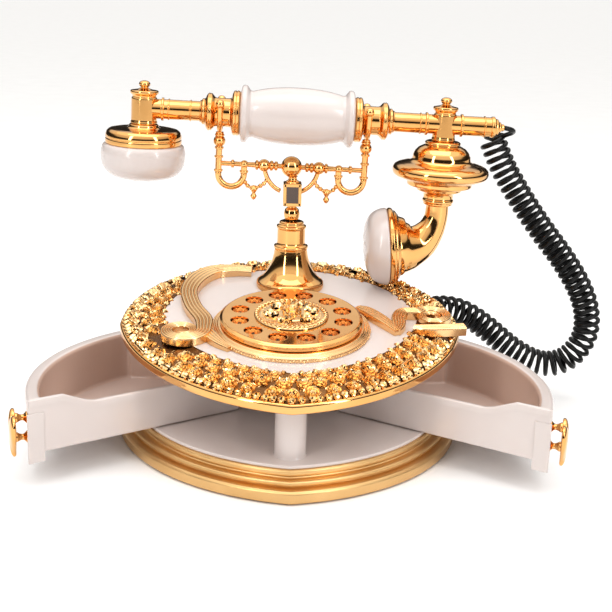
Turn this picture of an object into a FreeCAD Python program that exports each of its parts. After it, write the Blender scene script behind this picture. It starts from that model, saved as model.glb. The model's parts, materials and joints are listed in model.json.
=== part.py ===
"""French-style cradle phone with two swing-out jewellery drawers.

Millimetres, +Z up, +X to the user's right, +Y to the back.  The origin is the
middle of the underside.  The phone is modelled with both drawers swung open and
the handset lying on its cradle.
"""
import FreeCAD, Part
import math
import os
from FreeCAD import Vector, Placement, Rotation

os.makedirs("parts", exist_ok=True)

# ---- driving dimensions ---------------------------------------------------
FOOT_HALF = 108.5      # half width of the foot, corner to corner
FRONT_FLAT = 0.204     # how far the two front sides are flattened, of the half width
FOOT_BOTTOM = 0.8      # the foot hangs this far above the table on its pads
FOOT_TOP = 18.0
DECK_TOP = 20.0        # white floor plate that the drawers slide over
DRAWER_FLOOR = 20.6    # underside of the drawers
DRAWER_TOP = 53.6
HOUSING_Z = 54.8       # underside of the upper housing
RIM_Z = 68.4           # height of the rim's underside over the middle
TILT = 7.5             # slope of the rim and the dial, rising to the back
RIM_HALF = 108.0
BAND_HEIGHT = 6.0      # smooth gold band round the rim
DECK_W = 12.3          # top of the white upper deck above the rim's underside
DIAL_V = -18.0         # dial centre along the slope
DIAL_R = 44.0
HOLE_RING_R = 32.8
HOLE_R = 5.7
BUTTON_R = 5.2
BUTTON_TRAVEL = 1.5
DRAWER_PIVOT = (-66.0, 34.0)   # left drawer's hinge; the right one is its mirror image
DRAWER_SWING = 56.0
COLUMN_Y = 52.0        # the bell column and the handset stand over this line
GUIDE_R = 3.6
STEM_R = 3.5
CRADLE_TRAVEL = 4.0
AXIS_Z = 200.3         # handset axis over the middle
HANDSET_X = 1.9        # middle of the handset
LEAN = 1.65            # the cradle and the handset lean this far down to the right
EAR_X = -97.0
MOUTH_X = 98.0
COIL_D = 17.0          # outer diameter of the curly cord

# Route of the curly cord's middle line, from the base to the handset, and of the
# short straight lead that joins its top turn to the end of the handset's tube.
CORD_ROUTE = [
    (80.5, 65.2, 64.5), (93.0, 73.0, 64.5), (108.0, 80.0, 66.0), (124.0, 84.0, 62.0),
    (142.0, 84.5, 50.0), (161.0, 82.5, 34.0), (182.0, 79.5, 24.5), (201.0, 77.5, 30.0),
    (212.0, 76.0, 50.0), (208.0, 75.0, 75.0), (192.0, 74.5, 101.0), (170.0, 74.0, 127.0),
    (152.0, 73.5, 152.0), (140.0, 74.0, 171.0), (133.5, 74.5, 187.0)]
LEAD_ROUTE = [
    (137.25, 52.0, 196.4), (143.0, 52.4, 195.4), (145.5, 60.0, 192.5), (141.5, 69.0, 189.5),
    (135.0, 74.0, 185.5)]
LEAD_D = 2.8

DECK = Placement(Vector(0, 0, RIM_Z), Rotation(Vector(1, 0, 0), TILT))
LEAN_PIVOT = Vector(HANDSET_X, COLUMN_Y, AXIS_Z)
LEANED = Placement(Vector(0, 0, 0), Rotation(Vector(0, 1, 0), LEAN), LEAN_PIVOT)


# ---- shape helpers --------------------------------------------------------
def outline(half, z):
    """Closed plan outline: a half circle behind, two flatter arcs meeting at the front."""
    c = FRONT_FLAT * half
    rho = math.hypot(c, half + c)
    m = rho / math.sqrt(2.0)
    front = Vector(0, -half, z)
    right = Vector(half, 0, z)
    back = Vector(0, half, z)
    left = Vector(-half, 0, z)
    arcs = [
        Part.Arc(front, Vector(-c + m, c - m, z), right),
        Part.Arc(right, back, left),
        Part.Arc(left, Vector(c - m, c - m, z), front)]
    return Part.Wire([a.toShape() for a in arcs])


def slab(half, z0, z1):
    """Flat plate of the plan outline between two heights."""
    return Part.Face(outline(half, z0)).extrude(Vector(0, 0, z1 - z0))


def stack(profile):
    """Solid through a list of (half width, height) outlines."""
    return Part.makeLoft([outline(h, z) for h, z in profile], True, True)


def cyl(r, z0, z1, x=0.0, y=0.0):
    return Part.makeCylinder(r, z1 - z0, Vector(x, y, z0))


def rod(a, b, r):
    """Round bar from point a to point b."""
    a = Vector(*a)
    d = Vector(*b) - a
    return Part.makeCylinder(r, d.Length, a, d)


def ball(r, x, y, z):
    return Part.makeSphere(r, Vector(x, y, z))


def box(x0, x1, y0, y1, z0, z1):
    return Part.makeBox(x1 - x0, y1 - y0, z1 - z0, Vector(x0, y0, z0))


def prism(points, z0, z1):
    """Straight-sided solid over a closed polygon given as (x, y) pairs."""
    loop = [Vector(x, y, z0) for x, y in points]
    loop.append(loop[0])
    return Part.Face(Part.makePolygon(loop)).extrude(Vector(0, 0, z1 - z0))


def lathe(profile, x=0.0, y=0.0, z=0.0):
    """Turned solid about a vertical axis; the profile is (radius, height) pairs."""
    loop = [Vector(r, 0, h) for r, h in profile]
    loop.append(loop[0])
    solid = Part.Face(Part.makePolygon(loop)).revolve(Vector(0, 0, 0), Vector(0, 0, 1), 360)
    solid.translate(Vector(x, y, z))
    return solid


def lathe_x(profile, x=HANDSET_X, y=COLUMN_Y, z=AXIS_Z):
    """Turned solid about the handset's axis; the profile is (distance along X, radius)."""
    loop = [Vector(t, 0, r) for t, r in profile]
    loop.append(loop[0])
    solid = Part.Face(Part.makePolygon(loop)).revolve(Vector(0, 0, 0), Vector(1, 0, 0), 360)
    solid.translate(Vector(x, y, z))
    return solid


def bow(centre, radius, tube, start, sweep):
    """Part of a ring in the XZ plane; angles in degrees from +X towards +Z."""
    a0 = math.radians(start)
    a1 = math.radians(start + sweep / 2.0)
    a2 = math.radians(start + sweep)
    c = Vector(*centre)
    pts = [c + Vector(radius * math.cos(a), 0, radius * math.sin(a)) for a in (a0, a1, a2)]
    path = Part.Wire([Part.Arc(*pts).toShape()])
    tangent = Vector(-math.sin(a0), 0, math.cos(a0))
    section = Part.Wire([Part.Circle(pts[0], tangent, tube).toShape()])
    return path.makePipeShell([section], True, False)


def join(shapes):
    return shapes[0].multiFuse(shapes[1:]).removeSplitter()


def moved(shape, placement):
    out = shape.copy()
    out.Placement = placement.multiply(out.Placement)
    return out


def on_deck(shape):
    """Place a shape that was made over the sloping rim's own plane."""
    return moved(shape, DECK)


def leaned(shape):
    return moved(shape, LEANED)


def mirrored(shape):
    return shape.mirror(Vector(0, 0, 0), Vector(1, 0, 0))


def both_sides(shape):
    return [shape, mirrored(shape)]


def swung(shape):
    """Swing a left drawer piece from shut to open."""
    out = shape.copy()
    out.rotate(Vector(DRAWER_PIVOT[0], DRAWER_PIVOT[1], 0), Vector(0, 0, 1), -DRAWER_SWING)
    return out


def save(name, *solids):
    shape = solids[0] if len(solids) == 1 else Part.makeCompound(list(solids))
    good = shape.isValid() and all(s.Volume > 0 for s in shape.Solids)
    print(f"{name:22s} solids {len(shape.Solids):2d} volume {shape.Volume:10.1f} ok {good}")
    shape.exportStep(f"parts/{name}.step")


# ---- foot -----------------------------------------------------------------
COVER_SCREWS = [(-60.0, -40.0), (60.0, -40.0), (-52.0, 62.0), (52.0, 62.0)]
PAD_PLACES = [(-72.0, -22.0), (72.0, -22.0), (-46.0, 72.0), (46.0, 72.0), (0.0, -84.0)]


def foot_plinth():
    outer = stack([(108.0, FOOT_BOTTOM), (108.5, 1.6), (108.5, 7.2), (107.3, 8.4), (103.0, 8.9),
                   (102.6, 9.5), (104.2, 10.2), (104.2, 12.0), (103.2, 12.8), (99.3, 13.1),
                   (98.7, 13.8), (99.4, 14.6), (99.4, 17.0), (98.4, FOOT_TOP)])
    shell = outer.cut(slab(94.0, 0.0, 15.5))
    posts = [cyl(4.0, 3.0, 15.6, x, y) for x, y in COVER_SCREWS]
    shell = join([shell] + posts)
    for x, y in COVER_SCREWS:
        shell = shell.cut(cyl(1.3, 2.0, 13.0, x, y))
    return shell


def bottom_cover():
    plate = slab(93.5, 1.0, 3.0)
    for x, y in COVER_SCREWS:
        plate = plate.cut(cyl(1.5, 0.0, 4.0, x, y))
        plate = plate.cut(cyl(3.0, 0.0, 2.1, x, y))
    for x, y in PAD_PLACES:
        plate = plate.cut(cyl(2.0, 0.0, 4.0, x, y))
    return plate


def cover_screw(x, y):
    return join([cyl(2.7, 1.0, 2.1, x, y), cyl(1.3, 2.1, 12.5, x, y)])


def foot_pad(x, y):
    return join([cyl(6.5, 0.0, 1.0, x, y), cyl(1.9, 1.0, 3.8, x, y)])


def make_foot():
    save("foot_plinth", foot_plinth())
    save("bottom_cover", bottom_cover())
    save("cover_screws", *[cover_screw(x, y) for x, y in COVER_SCREWS])
    save("foot_pads", *[foot_pad(x, y) for x, y in PAD_PLACES])


# ---- housings -------------------------------------------------------------
JACK_Z = 34.0


def deck_plate():
    """White floor plate with the rounded post that stands between the drawers."""
    plate = slab(97.6, FOOT_TOP, DECK_TOP)
    post = lathe([(0, 19.0), (10.0, 19.0), (10.0, DECK_TOP), (9.3, 21.5), (9.3, HOUSING_Z),
                  (0, HOUSING_Z)], 0.0, -80.0)
    plate = join([plate, post])
    for side in (-1, 1):
        plate = plate.cut(cyl(2.5, 17.0, 21.0, side * DRAWER_PIVOT[0], DRAWER_PIVOT[1]))
    return plate


def rear_housing():
    """White wall behind the drawers, closed by the deck plate and the upper housing."""
    outer = slab(100.0, DECK_TOP, HOUSING_Z).common(box(-120, 120, 51.0, 120, 0, 100))
    inner = slab(97.6, DECK_TOP, HOUSING_Z).common(box(-120, 120, 53.4, 120, 0, 100))
    wall = outer.cut(inner)
    return wall.cut(box(-7.2, 7.2, 92, 104, JACK_Z - 6.2, JACK_Z + 6.2))


def line_jack():
    body = box(-7.0, 7.0, 84.0, 99.4, JACK_Z - 6.0, JACK_Z + 6.0)
    return body.cut(box(-5.0, 5.0, 88.0, 100.0, JACK_Z - 3.5, JACK_Z + 3.5))


def upper_housing():
    """Wedge-shaped tub that carries the sloping rim."""
    tub = slab(98.0, HOUSING_Z, 95.0).cut(slab(95.6, HOUSING_Z + 2.2, 96.0))
    tub = tub.cut(on_deck(box(-130, 130, -130, 130, 0.0, 60.0)))
    for side in (-1, 1):
        tub = tub.cut(cyl(2.5, 54.0, 56.0, side * DRAWER_PIVOT[0], DRAWER_PIVOT[1]))
    tub = tub.cut(box(-12, 12, 64, 90, 54, 58))
    return tub.cut(boot_rod(-18.0, 4.0, 4.0))


def hinge_pin(side):
    return cyl(2.5, FOOT_TOP, 56.0, side * DRAWER_PIVOT[0], DRAWER_PIVOT[1])


def circuit_board():
    board = box(-54, 40, 56, 78, 26.0, 27.6)
    chips = [box(-30, -16, 62, 74, 27.6, 30.0), box(8, 26, 60, 70, 27.6, 31.0)]
    legs = [cyl(3.0, DECK_TOP, 26.0, x, y) for x in (-48, 35) for y in (60, 74)]
    return join([board] + chips + legs)


def ringer_speaker():
    return join([cyl(11.0, DECK_TOP, 22.4, 55.0, 66.0), cyl(8.6, 22.4, 30.0, 55.0, 66.0)])


def make_housings():
    save("deck_plate", deck_plate())
    save("rear_housing", rear_housing())
    save("line_jack", line_jack())
    save("upper_housing", upper_housing())
    save("hinge_pins", hinge_pin(-1), hinge_pin(1))
    save("circuit_board", circuit_board())
    save("ringer_speaker", ringer_speaker())


# ---- sloping rim and deck ---------------------------------------------------
def rim_band():
    outer = stack([(107.4, 0.0), (108.0, 0.6), (108.0, 5.0), (107.2, BAND_HEIGHT)])
    return on_deck(outer.cut(slab(97.0, -1.0, 7.0)))


def rose_band():
    outer = stack([(105.5, BAND_HEIGHT), (104.5, 7.6), (97.0, 9.8), (80.5, 12.2)])
    inner = stack([(103.0, BAND_HEIGHT), (97.0, 7.6), (80.5, 10.0)])
    return on_deck(outer.cut(inner).cut(slab(80.5, 0.0, 20.0)))


def top_deck():
    plate = slab(80.5, 10.1, DECK_W)
    plate = plate.cut(cyl(37.5, 9.0, 14.0, 0.0, DIAL_V))
    return on_deck(plate).cut(cyl(9.0, 60, 110, 0.0, COLUMN_Y))


def dial_base_ring():
    profile = [(39.5, DECK_W), (49.0, DECK_W), (49.0, 14.6), (47.6, 15.4), (45.6, 16.6),
               (39.5, 16.6)]
    return on_deck(lathe(profile, 0.0, DIAL_V))


def hole_places():
    places = []
    for k in range(12):
        a = math.radians(15.0 + 30.0 * k)
        places.append((HOLE_RING_R * math.cos(a), DIAL_V + HOLE_RING_R * math.sin(a)))
    return places


def dial_plate():
    profile = [(0, 16.6), (43.2, 16.6), (DIAL_R, 17.4), (DIAL_R, 20.0), (42.2, 21.2), (0, 21.2)]
    plate = lathe(profile, 0.0, DIAL_V)
    for x, y in hole_places():
        plate = plate.cut(cyl(HOLE_R, 16.0, 22.0, x, y))
    return on_deck(plate)


def dial_medallion():
    profile = [(0, 21.2), (23.0, 21.2), (23.0, 22.6), (21.6, 23.4), (19.5, 23.0), (10.0, 24.4),
               (0, 25.2)]
    return on_deck(lathe(profile, 0.0, DIAL_V))


def keypad_board():
    """Round board with the rubber contact mat on it."""
    return on_deck(join([cyl(42.0, 5.0, 6.6, 0.0, DIAL_V), cyl(36.9, 6.6, 8.6, 0.0, DIAL_V)]))


def key_button(x, y):
    """Push button: flat head with a stem that stops short of the rubber mat."""
    head = cyl(BUTTON_R, 15.8, 19.4, x, y)
    toes = [cyl(1.0, 19.2, 19.9, x + 2.9 * math.cos(a), y + 2.9 * math.sin(a))
            for a in [math.radians(60.0 * i) for i in range(6)]]
    return on_deck(join([head, cyl(2.4, 10.4, 15.8, x, y)] + toes))


def make_top():
    save("rim_band", rim_band())
    save("rose_band", rose_band())
    save("top_deck", top_deck())
    save("dial_base_ring", dial_base_ring())
    save("dial_plate", dial_plate())
    save("dial_medallion", dial_medallion())
    save("keypad_board", keypad_board())
    for k, (x, y) in enumerate(hole_places()):
        save(f"key_button_{k + 1:02d}", key_button(x, y))


# ---- scroll ornaments -------------------------------------------------------
RIBBON_HALF = 5.6
RIBBON_BOTTOM = 12.4
RIBBON_TOP = 17.6


def ribbon(points, half=RIBBON_HALF):
    """Flat strip of constant width along a smooth line of (x, y) points."""
    curve = Part.BSplineCurve()
    curve.interpolate([Vector(x, y, 0) for x, y in points])
    steps = 6 * len(points)
    left, right = [], []
    for i in range(steps + 1):
        t = curve.FirstParameter + (curve.LastParameter - curve.FirstParameter) * i / steps
        p = curve.value(t)
        d = curve.tangent(t)[0]
        left.append((p.x - d.y * half, p.y + d.x * half))
        right.append((p.x + d.y * half, p.y - d.x * half))
    return prism(left + right[::-1], RIBBON_BOTTOM, RIBBON_TOP)


def curl(x, y, radius, start, sweep, steps=9):
    """Points of a scroll's round end."""
    out = []
    for i in range(steps + 1):
        a = math.radians(start + sweep * i / steps)
        out.append((x + radius * math.cos(a), y + radius * math.sin(a)))
    return out


def scroll_left():
    arm = [(-26.0, 71.0), (-38.0, 71.5), (-52.0, 67.0), (-62.0, 52.0), (-66.0, 30.0),
           (-62.0, 6.0), (-54.5, -14.0)]
    return arm + curl(-66.0, -32.0, 13.0, 12.0, -285.0)


def scroll_right():
    """Scroll that rises from a point beside the dial and curls over into a round end."""
    rise = [(66.5, -36.0), (64.0, -22.0), (64.5, -8.0)]
    return rise + curl(83.5, -4.0, 12.5, 165.0, -290.0)


def scroll_tail():
    return [(75.0, -21.0), (86.0, -25.5), (100.0, -25.0)]


def scroll_link():
    """Short strip from the dial's ring to the point of the right scroll."""
    return [(44.0, 8.0), (54.0, -6.0), (61.0, -22.0), (66.0, -37.0)]


def make_scrolls():
    ring = cyl(49.05, 10.0, 20.0, 0.0, DIAL_V)
    parts = [ribbon(scroll_right(), 5.0), ribbon(scroll_link(), 4.2).cut(ring),
             ribbon(scroll_tail(), 4.2)]
    save("scroll_left", on_deck(ribbon(scroll_left()).cut(ring)))
    save("scroll_right", on_deck(join(parts)))


# ---- bell column ------------------------------------------------------------
def bell_cover():
    flare = [(22.6, 90.0), (22.0, 90.8), (18.6, 93.6), (15.6, 97.4), (13.3, 102.0),
             (11.7, 107.5), (10.9, 112.6), (11.4, 113.6), (11.4, 115.0), (9.9, 115.6),
             (9.3, 117.0), (9.3, 126.4), (9.9, 127.0), (9.9, 128.4), (8.2, 129.4),
             (8.2, 131.0), (7.2, 131.4)]
    body = lathe([(4.6, 82.0), (22.6, 82.0)] + flare + [(4.6, 131.4)], 0.0, COLUMN_Y)
    hollow = lathe([(4.6, 80.0), (20.4, 80.0), (20.4, 89.6), (16.6, 93.4), (11.3, 102.0),
                    (8.4, 112.0), (7.2, 118.0), (4.6, 120.0)], 0.0, COLUMN_Y)
    return body.cut(hollow).cut(on_deck(box(-80, 80, 0, 110, 0.0, DECK_W)))


def stem_guide():
    return lathe([(GUIDE_R, 104.0), (4.6, 104.0), (4.6, 131.4), (GUIDE_R, 131.4)], 0.0, COLUMN_Y)


def hook_switch():
    body = box(6.2, 13.8, COLUMN_Y - 6, COLUMN_Y + 6, 57.0, 63.6)
    return join([body, box(8.2, 10.2, COLUMN_Y - 1, COLUMN_Y + 1, 63.6, 64.4)])


def hook_spring():
    return lathe([(4.1, 57.0), (5.2, 57.0), (5.2, 64.6), (4.1, 64.6)], 0.0, COLUMN_Y)


def make_column():
    save("bell_cover", bell_cover())
    save("stem_guide", stem_guide())
    save("hook_switch", hook_switch())
    save("hook_spring", hook_spring())


# ---- cradle -----------------------------------------------------------------
YOKE_Z = 167.3
FORK_X = 47.8


def cradle_stem():
    stem = cyl(STEM_R, 64.6, 133.0, 0.0, COLUMN_Y)
    collar = cyl(5.6, 64.6, 66.4, 0.0, COLUMN_Y)
    switch_arm = box(2.0, 12.0, COLUMN_Y - 2.0, COLUMN_Y + 2.0, 64.8, 66.4)
    knob = lathe([(0, 131.9), (3.6, 131.9), (4.9, 133.4), (5.2, 136.4), (4.6, 139.4), (3.2, 140.6),
                  (3.2, 141.6), (5.4, 142.0), (0, 142.0)], 0.0, COLUMN_Y)
    return join([stem, collar, switch_arm, knob])


def gem_block():
    """Square block with a window in each of its four faces."""
    block = box(-5.9, 5.9, COLUMN_Y - 5.9, COLUMN_Y + 5.9, 142.0, 157.0)
    for face in (-1, 1):
        side = sorted((face * 4.9, face * 7.0))
        block = block.cut(box(side[0], side[1], COLUMN_Y - 3.9, COLUMN_Y + 3.9, 144.0, 155.0))
        block = block.cut(box(-3.9, 3.9, COLUMN_Y + side[0], COLUMN_Y + side[1], 144.0, 155.0))
    neck = lathe([(0, 157.0), (4.6, 157.0), (3.0, 158.6), (3.0, 161.0), (0, 161.0)],
                 0.0, COLUMN_Y)
    return join([block, neck])


def gem_insert(face, along_x):
    a, b = sorted((face * 4.9, face * 5.7))
    if along_x:
        return box(a, b, COLUMN_Y - 3.9, COLUMN_Y + 3.9, 144.0, 155.0)
    return box(-3.9, 3.9, COLUMN_Y + a, COLUMN_Y + b, 144.0, 155.0)


def yoke_side():
    """Right half of the yoke: crossbar, beads, quarter bow, hanger tube and pendant."""
    y = COLUMN_Y
    pieces = [rod((0, y, YOKE_Z), (FORK_X, y, YOKE_Z), 1.6)]
    pieces.append(ball(4.1, 18.0, y, YOKE_Z))
    pieces.append(ball(2.7, 31.0, y, YOKE_Z))
    for x, r in ((10.0, 3.0), (13.2, 3.4), (22.6, 3.2), (38.5, 2.6)):
        pieces.append(rod((x - 0.9, y, YOKE_Z), (x + 0.9, y, YOKE_Z), r))
    pieces.append(bow((0.0, y, YOKE_Z), 17.6, 1.5, 0.0, -68.0))
    pieces.append(bow((39.4, y, 160.6), 8.4, 2.1, 180.0, 180.0))
    pieces.append(rod((31.0, y, 160.1), (31.0, y, YOKE_Z), 2.3))
    pieces.append(rod((47.8, y, 160.1), (47.8, y, 179.6), 2.3))
    pieces.append(rod((31.0, y, 156.0), (24.0, y, 151.5), 1.3))
    pieces.append(rod((15.0, y, 158.5), (24.0, y, 151.5), 1.3))
    pieces.append(lathe([(0, 144.0), (1.2, 144.6), (2.2, 146.4), (1.2, 148.4), (1.5, 149.4),
                         (2.6, 151.4), (1.2, 153.4), (0, 153.8)], 24.0, y))
    pieces.append(ball(3.9, FORK_X, y, 181.8))
    pieces.append(rod((FORK_X, y, 184.5), (FORK_X, y, 187.6), 2.6))
    return join(pieces)


def fork():
    """Round-section prong pair that holds the handset's neck; it lies in the YZ plane."""
    radius = 11.6
    prong = bow((0, 0, 0), radius, 1.8, 180.0, 180.0)
    tips = []
    for side in (-1, 1):
        tips.append(rod((side * radius, 0, 0), (side * (radius + 1.3), 0, 5.2), 1.8))
        tips.append(ball(2.9, side * (radius + 1.3), 0, 6.6))
    shape = join([prong] + tips)
    shape.rotate(Vector(0, 0, 0), Vector(0, 0, 1), 90)
    shape.translate(Vector(FORK_X, COLUMN_Y, AXIS_Z))
    return shape


def make_cradle():
    centre = ball(6.9, 0.0, COLUMN_Y, YOKE_Z)
    save("cradle_stem", cradle_stem())
    side = yoke_side()
    bar = leaned(join([centre, side, mirrored(side)]))
    block = gem_block()
    save("gem_block", block)
    inserts = [gem_insert(f, along) for f in (-1, 1) for along in (True, False)]
    save("gem_inserts", *inserts)
    save("cradle_yoke", bar.cut(block).cut(box(-5.9, 5.9, 40, 60, 142.0, 157.0)))
    prongs = fork().cut(side)
    save("cradle_forks", leaned(mirrored(prongs)), leaned(prongs))


# ---- handset ----------------------------------------------------------------
def grip():
    half = [(37.0, 2.1), (37.0, 14.0), (36.0, 18.0), (32.6, 18.3), (31.4, 16.6), (30.6, 14.8),
            (26.0, 15.6), (18.0, 17.2), (9.0, 18.1), (0.0, 18.4)]
    full = half + [(-t, r) for t, r in reversed(half[:-1])]
    return lathe_x(full)


def collar(side):
    """Turned gold neck between the grip and the straight tube."""
    half = [(37.0, 2.1), (37.0, 13.6), (38.0, 14.4), (41.2, 14.4), (42.2, 12.6), (42.9, 9.4),
            (53.2, 9.4), (54.4, 10.8), (55.6, 12.0), (57.6, 12.0), (58.8, 10.6), (60.0, 8.2),
            (63.0, 7.0), (63.0, 2.1)]
    return lathe_x([(side * t, r) for t, r in half])


def tube(x0, x1, bands=()):
    bar = rod((x0, COLUMN_Y, AXIS_Z), (x1, COLUMN_Y, AXIS_Z), 6.3)
    rings = [rod((x - 0.9, COLUMN_Y, AXIS_Z), (x + 0.9, COLUMN_Y, AXIS_Z), 7.2) for x in bands]
    bar = join([bar] + rings)
    return bar.cut(rod((x0 - 1, COLUMN_Y, AXIS_Z), (min(x1, 126.0), COLUMN_Y, AXIS_Z), 2.1))


def column(x, barrel_r, low):
    """Upright barrel with a cap disc and a finial above."""
    z = AXIS_Z
    body = lathe([(0, z + low), (barrel_r, z + low), (barrel_r, z + 9.2), (barrel_r + 0.8, z + 9.8),
                  (barrel_r + 0.8, z + 11.4), (4.4, z + 12.0), (2.4, z + 13.2), (3.4, z + 14.2),
                  (3.6, z + 15.6), (2.6, z + 17.2), (0, z + 17.6)], x, COLUMN_Y)
    return body


def ear_cap():
    z = AXIS_Z
    return lathe([(0, z - 10.2), (9.4, z - 10.2), (10.4, z - 12.6), (19.0, z - 13.2),
                  (22.0, z - 13.6), (23.6, z - 14.8), (24.6, z - 17.0), (24.6, z - 23.0),
                  (22.2, z - 23.0), (22.2, z - 17.4), (0, z - 16.0)], EAR_X, COLUMN_Y)


def ear_cup():
    z = AXIS_Z
    cup = lathe([(0, z - 46.0), (10.0, z - 45.6), (19.0, z - 43.6), (24.6, z - 39.8),
                 (26.9, z - 34.6), (27.3, z - 28.0), (26.4, z - 23.8), (25.0, z - 23.0),
                 (21.4, z - 23.0), (23.8, z - 28.0), (23.4, z - 36.0), (17.0, z - 41.4),
                 (0, z - 43.0)], EAR_X, COLUMN_Y)
    for k in range(6):
        a = math.radians(60.0 * k)
        cup = cup.cut(cyl(1.5, z - 48, z - 40, EAR_X + 7.5 * math.cos(a),
                          COLUMN_Y + 7.5 * math.sin(a)))
    return cup.cut(cyl(1.5, z - 48, z - 40, EAR_X, COLUMN_Y))


def receiver_capsule():
    z = AXIS_Z
    return lathe([(0, z - 38.0), (16.0, z - 38.0), (20.0, z - 32.0), (20.0, z - 24.0),
                  (0, z - 24.0)], EAR_X, COLUMN_Y)


def mouth_flange():
    """Collar ring, dome, wide disc and stepped cone under the right column."""
    z = AXIS_Z
    return lathe([(0, z - 10.7), (11.0, z - 10.7), (11.8, z - 12.0), (11.0, z - 13.6),
                  (14.0, z - 15.0), (18.4, z - 19.0), (19.2, z - 23.0), (20.6, z - 24.4),
                  (27.6, z - 26.2), (30.6, z - 27.6), (31.6, z - 29.6), (31.6, z - 32.2),
                  (30.2, z - 34.2), (25.0, z - 35.8), (21.6, z - 37.0), (21.4, z - 40.4),
                  (15.0, z - 41.4), (14.6, z - 43.6), (10.4, z - 45.0), (9.8, z - 47.4),
                  (9.8, z - 52.6), (7.6, z - 53.4), (0, z - 53.4)], MOUTH_X, COLUMN_Y)


MOUTH_CENTRE = (69.4, COLUMN_Y, 117.6)
MOUTH_AXIS = Vector(-0.9956, 0.0, -0.094)


def mouth_horn():
    """Curved horn from the flange down to the mouthpiece, growing wider to the left."""
    z = AXIS_Z - 53.4
    stations = [((98.0, z), (0.0, -1.0), 7.6), ((97.4, 137.5), (-0.14, -0.99), 7.9),
                ((94.2, 128.4), (-0.50, -0.87), 9.4), ((88.0, 121.6), (-0.80, -0.60), 12.4),
                ((80.8, 118.8), (-0.96, -0.28), 16.2), ((74.9, 118.12), (-0.9956, -0.094), 20.4)]
    rings = []
    for (x, h), (dx, dz), r in stations:
        circle = Part.Circle(Vector(x, COLUMN_Y, h), Vector(dx, 0, dz), r)
        rings.append(Part.Wire([circle.toShape()]))
    return Part.makeLoft(rings, True, False)


def turned_on_mouth(profile):
    """Turned solid about the mouthpiece's axis; heights run outwards from its centre."""
    solid = lathe(profile)
    turn = Rotation(Vector(0, 0, 1), MOUTH_AXIS)
    solid.Placement = Placement(Vector(*MOUTH_CENTRE), turn)
    return solid


def mouth_bell():
    """Ringed mouth of the horn, in one piece with it."""
    return turned_on_mouth([(0, -6.0), (20.4, -6.0), (22.6, -3.6), (23.6, -3.2), (24.2, -1.6),
                            (25.4, -1.0), (25.8, 0.6), (25.4, 2.2), (23.6, 2.6), (23.0, 0.0),
                            (0, 0.0)])


def mouth_cap():
    cap = turned_on_mouth([(20.0, 2.7), (25.6, 2.7), (25.4, 6.0), (24.0, 10.4), (20.4, 14.4),
                           (13.0, 17.4), (0, 18.6), (0, 16.4), (12.0, 15.2), (18.6, 12.4),
                           (21.4, 9.0), (22.2, 5.0), (22.2, 2.7)][1:])
    for k in range(6):
        a = math.radians(60.0 * k)
        hole = cyl(1.4, 10.0, 22.0, 8.0 * math.cos(a), 8.0 * math.sin(a))
        hole.Placement = Placement(Vector(*MOUTH_CENTRE), Rotation(Vector(0, 0, 1), MOUTH_AXIS))
        cap = cap.cut(hole)
    return cap


def microphone_capsule():
    return turned_on_mouth([(0, 0.0), (12.0, 0.0), (12.0, 7.0), (0, 7.0)])


def tube_end():
    """End cap of the right tube with the strain relief that the curly cord leaves from."""
    x = 128.4
    y, z = COLUMN_Y, AXIS_Z
    return join([rod((x, y, z), (x + 4.6, y, z), 5.4), rod((x + 0.6, y, z), (x + 2.2, y, z), 6.9),
                 rod((x + 4.6, y, z), (x + 6.4, y, z), 3.6),
                 rod((x + 6.4, y, z), (x + 8.7, y, z), 2.4)])


def make_handset():
    save("handset_grip", leaned(grip()))
    save("grip_collars", leaned(collar(-1)), leaned(collar(1)))
    neck = 63.0
    ear_column = column(EAR_X, 8.3, -10.2)
    mouth_column = column(MOUTH_X, 7.4, -10.7)
    ear_tube = tube(EAR_X, HANDSET_X - neck, (EAR_X + 12.0,)).cut(ear_column)
    mouth_tube = tube(HANDSET_X + neck, 128.4, (MOUTH_X - 12.0, MOUTH_X + 11.0))
    mouth_column = mouth_column.cut(rod((80, COLUMN_Y, AXIS_Z), (120, COLUMN_Y, AXIS_Z), 6.3))
    save("handset_tubes", leaned(ear_tube), leaned(mouth_tube))
    save("handset_columns", leaned(ear_column), leaned(mouth_column))
    save("ear_cap", leaned(ear_cap()))
    save("ear_cup", leaned(ear_cup()))
    save("receiver_capsule", leaned(receiver_capsule()))
    save("mouth_flange", leaned(mouth_flange()))
    save("mouth_horn", leaned(join([mouth_horn(), mouth_bell()])))
    save("mouth_cap", leaned(mouth_cap()))
    save("microphone_capsule", leaned(microphone_capsule()))
    save("tube_end", leaned(tube_end()))


# ---- drawers ----------------------------------------------------------------
FLAT_X = -10.3         # face of the left drawer's straight wall when shut
PULL_POINT = (-23.0, -104.2)
PULL_Z = 33.5


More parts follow.
